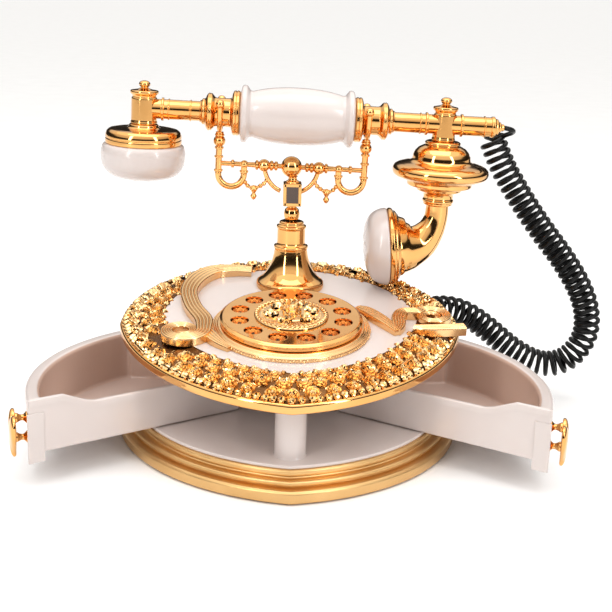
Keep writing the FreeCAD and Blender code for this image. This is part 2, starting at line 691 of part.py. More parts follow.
def drawer_tray():
    """Left tray, shut: thick curved front, thin straight wall, hinge barrel behind."""
    plan = prism([(FLAT_X, -130), (FLAT_X, 38), (-66, 46), (-78, 34), (-100, 8), (-130, 8),
                  (-130, -130)], 0, 80)
    outer = stack([(105.3, DRAWER_FLOOR), (105.3, 44.6), (106.6, 45.8), (106.6, 51.4),
                   (105.9, 53.0), (104.6, DRAWER_TOP)])
    skirt = slab(105.3, 14.6, DRAWER_FLOOR + 1.0).cut(slab(100.2, 14.0, DRAWER_FLOOR))
    body = join([outer, skirt]).common(plan)
    body = body.common(box(-130, 0, -130, 8, 0, 80).fuse(
        prism([(FLAT_X, -40), (FLAT_X, 38), (-66, 46), (-78, 34), (-97, 11.5), (-97, -40)], 0, 80)))
    px, py = DRAWER_PIVOT
    body = join([body, cyl(12.0, DRAWER_FLOOR, DRAWER_TOP, px, py)])
    room = prism([(FLAT_X - 2.6, -130), (FLAT_X - 2.6, 35.2), (-51.5, 40.6), (-51.5, 27.0),
                  (-58.0, 19.6), (-74.0, 19.6), (-81.0, 23.0), (-95.0, 4.8), (-130, 4.8),
                  (-130, -130)], 0, 80)
    cavity = stack([(97.0, 22.8), (97.6, 24.0), (97.6, 52.0), (98.8, 53.2), (99.0, 60.0)])
    body = body.cut(cavity.common(room))
    body = body.cut(wall_dip())
    return body.cut(cyl(2.58, 10, 60, px, py))


def wall_dip():
    """Sweeping dip in the straight wall's upper edge."""
    x0 = FLAT_X - 2.61
    top = DRAWER_TOP + 1.0
    low = 45.4
    curve = Part.BSplineCurve()
    curve.interpolate([Vector(x0, -84.0, top), Vector(x0, -80.0, DRAWER_TOP - 0.9),
                       Vector(x0, -74.0, 50.0), Vector(x0, -68.0, low + 0.8), Vector(x0, -62.0, low)])
    edges = [curve.toShape(),
             Part.makeLine(Vector(x0, -62.0, low), Vector(x0, 34.0, low + 1.4)),
             Part.makeLine(Vector(x0, 34.0, low + 1.4), Vector(x0, 34.0, top)),
             Part.makeLine(Vector(x0, 34.0, top), Vector(x0, -84.0, top))]
    return Part.Face(Part.Wire(edges)).extrude(Vector(4.0, 0, 0))


def pull_frame():
    """Placement of the pull: local +Z points out of the drawer front, local +Y up."""
    c = FRONT_FLAT * 105.3
    out = Vector(PULL_POINT[0] - c, PULL_POINT[1] - c, 0)
    out.normalize()
    up = Vector(0, 0, 1)
    side = up.cross(out)
    rot = Rotation(side, up, out, "ZXY")
    rho = math.hypot(c, 105.3 + c)
    base = Vector(c, c, PULL_Z) + out * rho
    return Placement(base, rot)


def pull_heart():
    """Heart-shaped pull plate, cast with two posts that are riveted over inside the drawer."""
    r = 6.6
    lobes = [cyl(r, 7.0, 9.6, side * 5.9, 5.6) for side in (-1, 1)]
    point = prism([(-11.0, 1.6), (0.0, -14.6), (11.0, 1.6), (0.0, 9.0)], 7.0, 9.6)
    posts = [lathe([(0, -9.0), (2.9, -9.0), (2.9, -7.7), (1.5, -7.7), (1.5, 0.0), (3.0, 0.0),
                    (2.1, 1.6), (1.7, 3.5), (2.1, 5.4), (3.0, 7.2), (0, 7.2)], 0.0, h)
             for h in (-6.0, 6.0)]
    return moved(join(lobes + [point] + posts), pull_frame())


def make_drawers():
    frame = pull_frame()
    tray = drawer_tray()
    for h in (-6.0, 6.0):
        tray = tray.cut(moved(cyl(1.5, -20.0, 10.0, 0.0, h), frame))
        tray = tray.cut(moved(cyl(3.1, -20.0, -7.6, 0.0, h), frame))
    plate = pull_heart()
    save("drawer_tray_left", swung(tray))
    save("drawer_tray_right", mirrored(swung(tray)))
    save("pull_heart_left", swung(plate))
    save("pull_heart_right", mirrored(swung(plate)))


# ---- cord -------------------------------------------------------------------
def boot_rod(back, front, radius):
    """Round bar on the line of the cord's exit, between two distances from its start."""
    start = Vector(*CORD_ROUTE[0])
    d = Vector(CORD_ROUTE[1][0], CORD_ROUTE[1][1], CORD_ROUTE[0][2]) - start
    d.normalize()
    return Part.makeCylinder(radius, front - back, start + d * back, d)


def cord_path(route):
    """Straight runs joined by tangent arcs; prints each arc's radius."""
    pts = [Vector(*p) for p in route]
    edges = []
    length = 0.0
    at = pts[0]
    radii = []
    for a, b, c in zip(pts, pts[1:], pts[2:]):
        u = (b - a).normalize()
        w = (c - b).normalize()
        turn = u.getAngle(w)
        reach = 0.45 * min((b - a).Length, (c - b).Length)
        radius = reach / math.tan(turn / 2.0)
        p = b - u * reach
        q = b + w * reach
        inward = (w - u).normalize()
        centre = b + inward * (radius / math.cos(turn / 2.0))
        middle = centre - inward * radius
        edges.append(Part.LineSegment(at, p).toShape())
        edges.append(Part.Arc(p, middle, q).toShape())
        length += (p - at).Length + radius * turn
        at = q
        radii.append(round(radius, 1))
    edges.append(Part.LineSegment(at, pts[-1]).toShape())
    length += (pts[-1] - at).Length
    print("cord arc radii", radii, "length", round(length, 1))
    return Part.Wire(edges), length


def cord_tube(route, diameter):
    path, length = cord_path(route)
    start = Vector(*route[0])
    first = (Vector(*route[1]) - start).normalize()
    section = Part.Wire([Part.Circle(start, first, diameter / 2.0).toShape()])
    solid = path.makePipeShell([section], True, False)
    expected = math.pi * (diameter / 2.0) ** 2 * length
    print("cord volume", round(solid.Volume), "expected", round(expected))
    return solid


def make_cord():
    save("cord_boot", boot_rod(-9.0, -0.02, 3.9))
    save("handset_cord", join([cord_tube(CORD_ROUTE, COIL_D), cord_tube(LEAD_ROUTE, LEAD_D)]))


make_foot()
make_housings()
make_top()
make_scrolls()
make_column()
make_cradle()
make_handset()
make_drawers()
make_cord()
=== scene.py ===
"""Looks of the french-style cradle phone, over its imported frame.

Shapes are written in millimetres in the phone's own frame (+Z up, +X to the user's
right, +Y to the back) and turned into metres when a mesh is made.
"""
import bpy
import bmesh
import json
from math import atan2, cos, hypot, pi, radians, sin
import random
from mathutils import Matrix, Vector


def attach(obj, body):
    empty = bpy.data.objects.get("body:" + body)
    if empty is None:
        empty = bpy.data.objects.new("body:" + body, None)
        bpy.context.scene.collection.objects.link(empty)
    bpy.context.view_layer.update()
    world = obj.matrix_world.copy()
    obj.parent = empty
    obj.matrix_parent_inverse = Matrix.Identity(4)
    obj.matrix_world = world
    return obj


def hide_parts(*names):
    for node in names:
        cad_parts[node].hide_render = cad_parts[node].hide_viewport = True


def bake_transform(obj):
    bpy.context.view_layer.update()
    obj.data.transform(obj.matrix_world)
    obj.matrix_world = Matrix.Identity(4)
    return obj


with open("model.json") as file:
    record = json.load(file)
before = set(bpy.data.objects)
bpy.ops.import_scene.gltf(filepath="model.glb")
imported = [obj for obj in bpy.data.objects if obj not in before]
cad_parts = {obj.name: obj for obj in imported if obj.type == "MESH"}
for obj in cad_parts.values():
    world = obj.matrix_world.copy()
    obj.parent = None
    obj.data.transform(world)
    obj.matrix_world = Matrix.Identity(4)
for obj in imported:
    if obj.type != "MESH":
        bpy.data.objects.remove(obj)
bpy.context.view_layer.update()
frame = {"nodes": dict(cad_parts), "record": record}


# ---- placements ----
def shift(x, y, z):
    return Matrix.Translation((x, y, z))


def spun(degrees, axis):
    return Matrix.Rotation(radians(degrees), 4, axis)


def about(point, turn):
    """A turn about a point instead of the origin."""
    return Matrix.Translation(point) @ turn @ Matrix.Translation(-point)


def show(name, data):
    """New object in the scene."""
    obj = bpy.data.objects.new(name, data)
    bpy.context.scene.collection.objects.link(obj)
    return obj


# ---- dimensions shared with the phone's frame (mm and degrees) ----
FRONT_FLAT = 0.204    # how pointed the plan's front is, as a share of its half width
RIM_Z = 68.4          # height of the deck's rim in its middle
TILT = 7.5            # slope of the deck and dial towards the front
DIAL_V = -18.0        # the dial's middle, up the sloping deck
HOLE_RING_R = 32.8
COLUMN_Y = 52.0       # bell column, cradle and handset
AXIS_Z = 200.3        # handset's axis in its middle
HANDSET_X = 1.9
LEAN = 1.65           # how far the handset and yoke lean to the right
EAR_X = -97.0
MOUTH_X = 98.0
YOKE_Z = 167.3
FORK_X = 47.8
PIVOT = (-66.0, 34.0)     # left drawer's hinge
SWING = 56.0
CORD_ROUTE = [
    (80.5, 65.2, 64.5), (93.0, 73.0, 64.5), (108.0, 80.0, 66.0), (124.0, 84.0, 62.0),
    (142.0, 84.5, 50.0), (161.0, 82.5, 34.0), (182.0, 79.5, 24.5), (201.0, 77.5, 30.0),
    (212.0, 76.0, 50.0), (208.0, 75.0, 75.0), (192.0, 74.5, 101.0), (170.0, 74.0, 127.0),
    (152.0, 73.5, 152.0), (140.0, 74.0, 171.0), (133.5, 74.5, 187.0)]
LEAD_ROUTE = [
    (137.25, 52.0, 196.4), (143.0, 52.4, 195.4), (145.5, 60.0, 192.5), (141.5, 69.0, 189.5),
    (135.0, 74.0, 185.5)]
COIL_R = 7.8          # radius of the curly cord's turns, to the wire's middle
WIRE_D = 3.1          # wire's diameter
LEAD_GAP = 0.002      # m between coil and lead from which the wire is led across
TURNS = 60

CAMERA_ORBIT, CAMERA_PITCH, CAMERA_ROLL = 2.0, 15.834, 1.757     # degrees
CAMERA_SPOT = (0.0095, -0.7351, 0.29607)     # m, before the orbit
CAMERA_LENS = 71.08                          # mm

SMOOTH_TO = 35.0      # degrees up to which an edge is shaded smooth

WORLD = Matrix.Identity(4)
DECK = shift(0, 0, RIM_Z) @ spun(TILT, "X")
HANDSET_MIDDLE = Vector((HANDSET_X, COLUMN_Y, AXIS_Z))
LEANED = about(HANDSET_MIDDLE, spun(LEAN, "Y"))
ALONG_X = LEANED @ Matrix.Translation(HANDSET_MIDDLE) @ spun(90, "Y")
MIRROR = Matrix.Scale(-1, 4, (1, 0, 0))
FLIP = Matrix.Scale(-1, 4, (0, 0, 1))
COLUMN = shift(0, COLUMN_Y, 0)
SWUNG = about(Vector((*PIVOT, 0)), spun(-SWING, "Z"))


# ---- camera ----
def make_camera():
    """Long lens in front and a little to the left, looking 16 degrees down."""
    pitch, roll = radians(CAMERA_PITCH), radians(CAMERA_ROLL)
    orbit = Matrix.Rotation(radians(-CAMERA_ORBIT), 3, "Z")
    ahead = orbit @ Vector((0, cos(pitch), -sin(pitch)))
    up = orbit @ Vector((0, sin(pitch), cos(pitch)))
    right = orbit @ Vector((1, 0, 0))
    cam_right = right * cos(roll) + up * sin(roll)
    cam_up = up * cos(roll) - right * sin(roll)
    turn = Matrix((cam_right, cam_up, -ahead)).transposed().to_4x4()
    data = bpy.data.cameras.new("camera")
    data.sensor_width = 36.0
    data.lens = CAMERA_LENS
    data.clip_end = 200.0
    cam = show("camera", data)
    cam.matrix_world = shift(*(orbit @ Vector(CAMERA_SPOT))) @ turn
    bpy.context.scene.camera = cam


# ---- materials ----
def add(tree, kind, values=(), **settings):
    """New shader node of a kind, with its settings and its sockets' values."""
    made = tree.nodes.new("ShaderNode" + kind)
    for name, value in settings.items():
        setattr(made, name, value)
    for name, value in dict(values).items():
        made.inputs[name].default_value = value
    return made


def material(name, dark, light, metallic, rough, grain, depth, stretch=(1, 1, 1), crevice_shade=None,
             coat=0.0, soft=0.0):
    """Node material: colour and roughness vary with fine noise, and bump gives the grain.

    dark and light are the two ends of the colour, rough the two ends of the roughness,
    grain the noise's scale per metre, depth the bump's height in metres. The crevice colour is a
    painted shade, mixed in where the surface is hollow.
    """
    mat = bpy.data.materials.new(name)
    mat.use_nodes = True
    tree = mat.node_tree
    shader = tree.nodes["Principled BSDF"]
    for name, value in (("Metallic", metallic), ("Coat Weight", coat), ("Coat Roughness", 0.04),
                        ("Subsurface Weight", soft), ("Subsurface Scale", 1.0),
                        ("Subsurface Radius", (0.004, 0.003, 0.0025))):
        shader.inputs[name].default_value = value
    where = add(tree, "TexCoord")
    scale = add(tree, "Mapping", {"Scale": stretch})
    noise = add(tree, "TexNoise", {"Scale": grain, "Detail": 5.0})
    broad = add(tree, "TexNoise", {"Scale": 22.0, "Detail": 3.0})
    link = tree.links.new
    link(where.outputs["Object"], scale.inputs["Vector"])
    link(scale.outputs["Vector"], noise.inputs["Vector"])
    link(where.outputs["Object"], broad.inputs["Vector"])
    ramp = add(tree, "ValToRGB")
    for mark, position, colour in zip(ramp.color_ramp.elements, (0.3, 0.7), (dark, light)):
        mark.position = position
        mark.color = (*colour, 1)
    link(broad.outputs["Fac"], ramp.inputs["Fac"])
    colour = ramp.outputs["Color"]
    # painted shade: where the surface is hollow (low pointiness) the colour is darkened towards the
    # crevice colour
    if crevice_shade:
        geometry = add(tree, "NewGeometry")
        crevice_shade_mask = add(tree, "MapRange", {"From Min": 0.40, "From Max": 0.50})
        mix = add(tree, "Mix", {"A": (*crevice_shade, 1)}, data_type="RGBA")
        link(geometry.outputs["Pointiness"], crevice_shade_mask.inputs["Value"])
        link(crevice_shade_mask.outputs["Result"], mix.inputs["Factor"])
        link(colour, mix.inputs["B"])
        colour = mix.outputs["Result"]
    link(colour, shader.inputs["Base Color"])
    spread = add(tree, "MapRange", {"To Min": rough[0], "To Max": rough[1]})
    link(noise.outputs["Fac"], spread.inputs["Value"])
    link(spread.outputs["Result"], shader.inputs["Roughness"])
    bump = add(tree, "Bump", {"Distance": depth, "Strength": 1.0})
    link(noise.outputs["Fac"], bump.inputs["Height"])
    link(bump.outputs["Normal"], shader.inputs["Normal"])
    return mat


GOLD_DARK, GOLD_LIGHT = (0.78, 0.39, 0.12), (0.88, 0.49, 0.18)
GOLD = material("gold", GOLD_DARK, GOLD_LIGHT, 1.0, (0.05, 0.12), 60.0, 0.00008)
# cast gold whose dark crevice colour is a painted shade in the hollows of the relief
CAST = material("cast_gold", (0.80, 0.48, 0.20), (0.92, 0.62, 0.30), 1.0, (0.05, 0.13), 300.0,
                0.00008, crevice_shade=(0.10, 0.035, 0.010))
# painted shade: dark gold for the sheet under the roses, standing in for the shade in the gaps
# between them
ROSE_GAP_SHADE = material("rose_gap_shade", (0.10, 0.04, 0.012), (0.22, 0.10, 0.035), 1.0, (0.2, 0.35), 500.0,
                  0.0002)
SATIN = material("satin_gold", (0.66, 0.40, 0.16), (0.78, 0.50, 0.22), 1.0, (0.26, 0.42), 180.0,
                 0.00006, stretch=(1, 1, 14))
SCROLL = material("scroll_gold", (0.86, 0.52, 0.23), (0.93, 0.61, 0.31), 1.0, (0.17, 0.27), 300.0,
                  0.000004)
WHITE = material("white_plastic", (0.635, 0.555, 0.525), (0.675, 0.60, 0.57), 0.0, (0.16, 0.26),
                 500.0, 0.00001, coat=0.35, soft=0.12)
AMBER = material("amber", (0.42, 0.10, 0.012), (0.70, 0.24, 0.04), 0.75, (0.12, 0.28), 900.0,
                 0.00008)
GEM = material("dark_gem", (0.030, 0.014, 0.008), (0.075, 0.035, 0.018), 0.6, (0.03, 0.07), 80.0,
               0.00002, coat=1.0)
BLACK_CORD = material("black_cord", (0.002, 0.002, 0.002), (0.005, 0.005, 0.005), 0.0,
                      (0.24, 0.36), 900.0, 0.00002)
BLACK_CORD.node_tree.nodes["Principled BSDF"].inputs["Specular IOR Level"].default_value = 0.22
BLACK = material("black_plastic", (0.010, 0.010, 0.011), (0.024, 0.024, 0.025), 0.0,
                 (0.35, 0.5), 1200.0, 0.00003)
STEEL = material("steel", (0.50, 0.50, 0.51), (0.62, 0.62, 0.62), 1.0, (0.22, 0.38), 400.0,
                 0.00003)
GREEN = material("board_green", (0.010, 0.09, 0.035), (0.02, 0.14, 0.055), 0.0, (0.3, 0.45),
                 600.0, 0.00003)
PAD = material("pad_rubber", (0.016, 0.016, 0.016), (0.035, 0.034, 0.033), 0.0, (0.6, 0.8),
               1500.0, 0.00006)
INK = material("ink", (0.03, 0.012, 0.004), (0.06, 0.025, 0.01), 0.2, (0.35, 0.5), 900.0, 0.00002)

SLOT_LOOKS = {
    "white_plastic": WHITE, "polished_gold": GOLD, "plated_gold": GOLD, "satin_plated": SATIN,
    "amber_button": AMBER, "dark_gem": GEM, "black_cord": BLACK_CORD, "black_plastic": BLACK,
    "steel": STEEL, "circuit_green": GREEN, "pad_rubber": PAD}


# ---- shape helpers (lists of points and faces, in mm) ----
def soften(points, radius=0.5, steps=3):
    """Line of pairs with its corners rounded."""
    line = [Vector(p) for p in points]
    out = []
    for i, p in enumerate(line):
        if i in (0, len(line) - 1):
            out.append(p)
            continue
        before, after = line[i - 1] - p, line[i + 1] - p
        a = p + before.normalized() * min(radius, 0.42 * before.length)
        b = p + after.normalized() * min(radius, 0.42 * after.length)
        for k in range(steps + 1):
            t = k / steps
            out.append(a * (1 - t) ** 2 + p * (2 * t * (1 - t)) + b * t ** 2)
    return out


def blended(points, steps=6):
    """Catmull-Rom line through points of any size."""
    line = [Vector(p) for p in points]
    line = [line[0] * 2 - line[1]] + line + [line[-1] * 2 - line[-2]]
    out = []
    for a, b, c, d in zip(line, line[1:], line[2:], line[3:]):
        for k in range(steps):
            t = k / steps
            out.append((b * 2 + (c - a) * t + (a * 2 - b * 5 + c * 4 - d) * t ** 2
                        + (b * 3 - a - c * 3 + d) * t ** 3) * 0.5)
    out.append(line[-2])
    return out


def at(part, place):
    verts, faces = part
    return [place @ Vector(v) for v in verts], faces


def moved(part, x=0.0, y=0.0, z=0.0):
    return at(part, shift(x, y, z))


def turned(profile, segments=96, radius=0.5, steps=3):
    """Turned shape about Z from (radius, height) pairs, corners rounded."""
    line = soften(profile, radius, steps) if radius else [Vector(p) for p in profile]
    verts, rings = [], []
    for r, h in line:
        if r < 1e-4:
            rings.append([len(verts)] * segments)
            verts.append((0.0, 0.0, h))
            continue
        angles = [2 * pi * k / segments for k in range(segments)]
        add_ring(verts, rings, [(r * cos(a), r * sin(a), h) for a in angles])
    return verts, skin(rings, True)


def add_ring(verts, rings, points):
    """Add a ring of points and their numbers."""
    rings.append(list(range(len(verts), len(verts) + len(points))))
    verts.extend(points)


def capped(verts, rings):
    """Shape through rings, with both ends closed."""
    return verts, skin(rings, True) + [rings[0][::-1], rings[-1]]


def placed(parts, place):
    return [at(part, place) for part in parts]


def skin(rings, closed):
    """Quads between rings of point numbers; a repeated point gives triangles."""
    faces = []
    for low, high in zip(rings, rings[1:]):
        count = len(low)
        for k in range(count if closed else count - 1):
            n = (k + 1) % count
            face = []
            for v in (low[k], low[n], high[n], high[k]):
                if v not in face:
                    face.append(v)
            if len(face) > 2:
                faces.append(face)
    return faces


def ball(r, x=0.0, y=0.0, z=0.0, segments=40):
    line = [(r * sin(pi * k / 20), -r * cos(pi * k / 20)) for k in range(21)]
    return moved(turned(line, segments, 0), x, y, z)


def tube(points, radii, segments=20):
    """Round bar along points; radii is one number or one for each point."""
    line = [Vector(p) for p in points]
    if not isinstance(radii, (list, tuple)):
        radii = [radii] * len(line)
    verts, rings, side = [], [], None
    for i, p in enumerate(line):
        ahead = (line[min(i + 1, len(line) - 1)] - line[max(i - 1, 0)]).normalized()
        if side is None:
            side = ahead.orthogonal().normalized()
        side = (side - ahead * side.dot(ahead)).normalized()
        up = ahead.cross(side)
        angles = [2 * pi * k / segments for k in range(segments)]
        add_ring(verts, rings, [p + (side * cos(a) + up * sin(a)) * radii[i]
                                for a in angles])
    return capped(verts, rings)


def bow(cx, cz, radius, tube_r, start, sweep, y=COLUMN_Y):
    """Part of a ring in the XZ plane; degrees from +X towards +Z."""
    line = []
    for k in range(25):
        a = radians(start + sweep * k / 24)
        line.append((cx + radius * cos(a), y, cz + radius * sin(a)))
    return tube(line, tube_r)


def plan_point(half, s):
    """Point of the plan outline; s runs once round from the front corner, 0 to 1."""
    c = FRONT_FLAT * half
    rho = hypot(c, half + c)
    low, high = atan2(-half - c, c), atan2(-c, half + c)
    if s < 0.25:
        a = low + (high - low) * s / 0.25
        return -c + rho * cos(a), c + rho * sin(a)
    if s > 0.75:
        x, y = plan_point(half, 1.0 - s)
        return -x, y
    a = pi * (s - 0.25) / 0.5
    return half * cos(a), half * sin(a)


def plan_loft(profile, count=240, radius=0.4, steps=3):
    """Shape through (half width, height) pairs of the plan outline."""
    verts, rings = [], []
    for half, z in soften(profile, radius, steps):
        add_ring(verts, rings, [(*plan_point(half, k / count), z) for k in range(count)])
    return verts, skin(rings, True)


def rounded_box(x, y, z, radius=0.6):
    """Box centred on the origin with rounded edges."""
    bm = bmesh.new()
    bmesh.ops.create_cube(bm, size=1.0)
    bmesh.ops.scale(bm, vec=(x, y, z), verts=bm.verts)
    bmesh.ops.bevel(bm, geom=bm.edges, offset=radius, segments=3, affect="EDGES")
    part = [v.co.copy() for v in bm.verts], [[v.index for v in f.verts] for f in bm.faces]
    bm.free()
    return part


# ---- pieces ----
def body_of(node):
    return next(b for b, nodes in frame["record"]["behaviour"]["bodies"].items() if node in nodes)


def slot_of(node):
    for part in frame["record"]["subparts"]:
        if part["node"] == node:
            return part["material_slot"]
    raise KeyError(node)


def piece(name, parts, look, body, nodes=(), angle=SMOOTH_TO, crease=False):
    """One mesh object from (points, faces) parts in mm, riding on a body.

    It takes the place of the CAD nodes, which it hides.
    Edges sharper than angle degrees stay sharp, and with crease the front corner too.
    """
    verts, faces = [], []
    for v, f in parts:
        start = len(verts)
        verts += [Vector(p) * 0.001 for p in v]
        faces += [[i + start for i in face] for face in f]
    mesh = bpy.data.meshes.new(name)
    mesh.from_pydata(verts, [], faces)
    mesh.validate()
    bm = bmesh.new()
    bm.from_mesh(mesh)
    bmesh.ops.recalc_face_normals(bm, faces=bm.faces)
    bm.to_mesh(mesh)
    bm.free()
    mesh.shade_smooth()
    mesh.set_sharp_from_angle(angle=radians(angle))
    if crease:
        for edge in mesh.edges:
            a, b = (mesh.vertices[i].co for i in edge.vertices)
            if abs(a.x) < 1e-6 and abs(b.x) < 1e-6 and a.y < 0 and b.y < 0:
                edge.use_edge_sharp = True
    mesh.materials.append(look)
    obj = show(name, mesh)
    if body:
        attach(obj, body)
    if nodes:
        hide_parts(*nodes)
    return obj


# ---- cord ----
def route_line(points, name):
    """Points of the smooth spline over a route, as Blender draws it, in metres."""
    curve = bpy.data.curves.new(name, "CURVE")
    curve.dimensions = "3D"
    curve.resolution_u = 24
    spline = curve.splines.new("NURBS")
    spline.points.add(len(points) - 1)
    for p, co in zip(spline.points, points):
        p.co = (co[0] * 0.001, co[1] * 0.001, co[2] * 0.001, 1.0)
    spline.order_u = 3
    spline.use_endpoint_u = True
    obj = show(name, curve)
    bpy.context.view_layer.update()
    drawn = bpy.data.meshes.new_from_object(obj)
    line = [v.co.copy() for v in drawn.vertices]
    bpy.data.meshes.remove(drawn)
    bpy.data.objects.remove(obj)
    bpy.data.curves.remove(curve)
    return line


def helix(line, turns, radius, per_turn=18):
    """Points of a helix wound about a line; its radius grows from nothing at the start."""
    lengths = [0.0]
    for a, b in zip(line, line[1:]):
        lengths.append(lengths[-1] + (b - a).length)
    total, out, side, i = lengths[-1], [], None, 0
    steps = turns * per_turn
    for k in range(steps + 1):
        s = total * k / steps
        while i < len(line) - 2 and lengths[i + 1] < s:
            i += 1
        gap = lengths[i + 1] - lengths[i]
        p = line[i].lerp(line[i + 1], (s - lengths[i]) / gap)
        ahead = (line[i + 1] - line[i]).normalized()
        side = ahead.orthogonal().normalized() if side is None else side
        side = (side - ahead * side.dot(ahead)).normalized()
        a = 2 * pi * k / per_turn
        grow = min(1.0, k / (0.9 * per_turn))
        out.append(p + (side * cos(a) + ahead.cross(side) * sin(a)) * radius * grow)
    return out


def make_cord():
    """Curly cord and its lead in one wire, from the base's boot to the handset."""
    coil = helix(route_line(CORD_ROUTE, "coil_line"), TURNS, COIL_R * 0.001)
    lead = route_line(LEAD_ROUTE, "lead_line")[::-1]
    join = [coil[-1].lerp(lead[0], t) for t in (0.35, 0.7)]
    path = coil + (join if (coil[-1] - lead[0]).length > LEAD_GAP else []) + lead
    verts, faces = tube([p * 1000 for p in path], WIRE_D / 2, 8)
    cord = piece("curly_cord", [(verts, faces)], BLACK_CORD, None, ["handset_cord"], 60.0)
    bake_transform(cord)


def make_boot():
    """Ribbed rubber boot, aimed along the cord where it starts."""
    start, ahead = Vector(CORD_ROUTE[0]), Vector((12.5, 7.8, 0)).normalized()
    turn = ahead.to_track_quat("Z", "Y").to_matrix().to_4x4()
    line = [(3.9, -9.0), (3.9, -3.0)]
    for k in range(4):
        line += [(3.9 - 0.4 * k, -2.6 + 2.0 * k), (3.2 - 0.4 * k, -1.8 + 2.0 * k)]
    line += [(1.7, 5.4), (1.35, 6.0)]
    boot = piece("boot", [at(turned(line, 32, 0.3, 2), Matrix.Translation(start) @ turn)],
                 BLACK_CORD, None, ["cord_boot"])
    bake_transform(boot)


# ---- foot and housings ----
def make_foot():
    profile = [(94.0, 0.8), (107.6, 0.8), (108.5, 1.8), (108.5, 7.0), (107.2, 8.4), (103.2, 8.9),
               (102.4, 9.6), (104.0, 10.2), (104.2, 12.0), (103.2, 12.8), (99.3, 13.1),
               (98.5, 13.9), (99.4, 14.6), (99.4, 16.9), (98.9, 17.3), (99.0, 17.8), (98.2, 18.05),
               (94.0, 18.05)]
    piece("foot", [plan_loft(profile, 320, 0.5)], SATIN, "base", ["foot_plinth"], 50.0,
          crease=True)


def make_deck():
    plate = plan_loft([(60.0, 18.0), (97.4, 18.0), (97.6, 18.3), (97.6, 19.6), (97.1, 20.0),
                       (0.01, 20.0)], 240, 0.2)
    post = turned([(9.9, 20.0), (9.3, 21.2), (9.2, 54.8)], 64, 1.2, 5)
    piece("deck", [plate, moved(post, 0, -80.0)], WHITE, "base", ["deck_plate"], 30.0, crease=True)


def make_rim():
    band = plan_loft([(96.0, 0.0), (107.2, 0.0), (108.0, 0.8), (108.0, 4.8), (107.2, 6.0),
                      (105.9, 6.2), (105.4, 5.6), (103.5, 5.6)], 320, 0.6)
    piece("rim_band", [at(band, DECK)], GOLD, "base", ["rim_band"], 50.0, crease=True)


# ---- roses ----
def rose(seed, rings=22, around=40):
    """Relief rose of unit radius: a bud, then whorls of overlapping petals, lower outwards."""
    rng = random.Random(seed)
    whorls = [(0.30, 0.66, 3), (0.54, 0.56, 4), (0.78, 0.38, 5), (1.0, 0.14, 5)]
    phases = [rng.uniform(0, 6.28) for _ in whorls]
    verts = [(0.0, 0.0, 0.60)]
    index = [[0] * around]
    for i in range(1, rings + 1):
        r = i / rings
        ring = []
        for k in range(around):
            a = 2 * pi * k / around
            inner = 0.0
            for (edge, height, lobes), phase in zip(whorls, phases):
                lip = edge * (1.0 + 0.07 * cos(lobes * a + phase))
                if r <= lip or edge == 1.0:
                    break
                inner = lip
            along = min(1.0, (r - inner) / max(0.05, lip - inner))
            z = height - 0.16 + 0.20 * along ** 1.5
            z += 0.05 * cos(lobes * a + phase)
            z -= 0.30 * max(0.0, r - 0.9) / 0.1
            reach = r * (1.0 + 0.07 * cos(5 * a + phases[-1]) * r * r)
            ring.append(len(verts))
            verts.append((reach * cos(a), reach * sin(a), z))
        index.append(ring)
    return verts, skin(index, True)


def leaf():
    """Leaf of unit length along +X with a raised rib and turned-down edges."""
    across = ((-1.0, -0.14), (-0.5, 0.06), (0.0, -0.05), (0.5, 0.06), (1.0, -0.14))
    verts, rings = [], []
    for i in range(9):
        t = i / 8
        width = 0.34 * sin(pi * t ** 0.8) + 0.01
        height = 0.30 * sin(pi * t) + 0.12
        add_ring(verts, rings, [(t - 0.5, width * u, height + h) for u, h in across])
    return verts, skin(rings, False)


def band_frame(s, half, w, lean, spin, size):
    """Placement on the rose band: +Z leaves the band, leaning outwards by lean degrees."""
    x, y = plan_point(half, s % 1.0)
    out = Vector((x, y, 0)).normalized()
    tip = radians(lean)
    normal = out * sin(tip) + Vector((0, 0, cos(tip)))
    across = Vector((0, 0, 1)).cross(out)
    down = across.cross(normal)
    turn = Matrix((across, down, normal)).transposed().to_4x4()
    return (DECK @ shift(x, y, w) @ turn @ Matrix.Rotation(spin, 4, "Z")
            @ Matrix.Scale(size, 4))


ROSE_ROWS = [  # half width, height, count, size, lean
    (100.0, 7.6, 50, 6.1, 40.0),
    (91.6, 9.8, 50, 5.4, 22.0),
    (84.6, 11.2, 52, 4.4, 10.0)]


def under_scroll(x, v):
    """True where a scroll lies over the band, so that roses stay low there."""
    left = hypot(x + 66.0, v + 32.0) < 21.0
    right = hypot(x - 89.2, v + 4.0) < 18.0 or (76.0 < x < 106.0 and -27.0 < v < -14.0)
    back = (-70.0 < x < -20.0 and v > 60.0 and hypot(x, v) < 84.0)
    return left or right or back


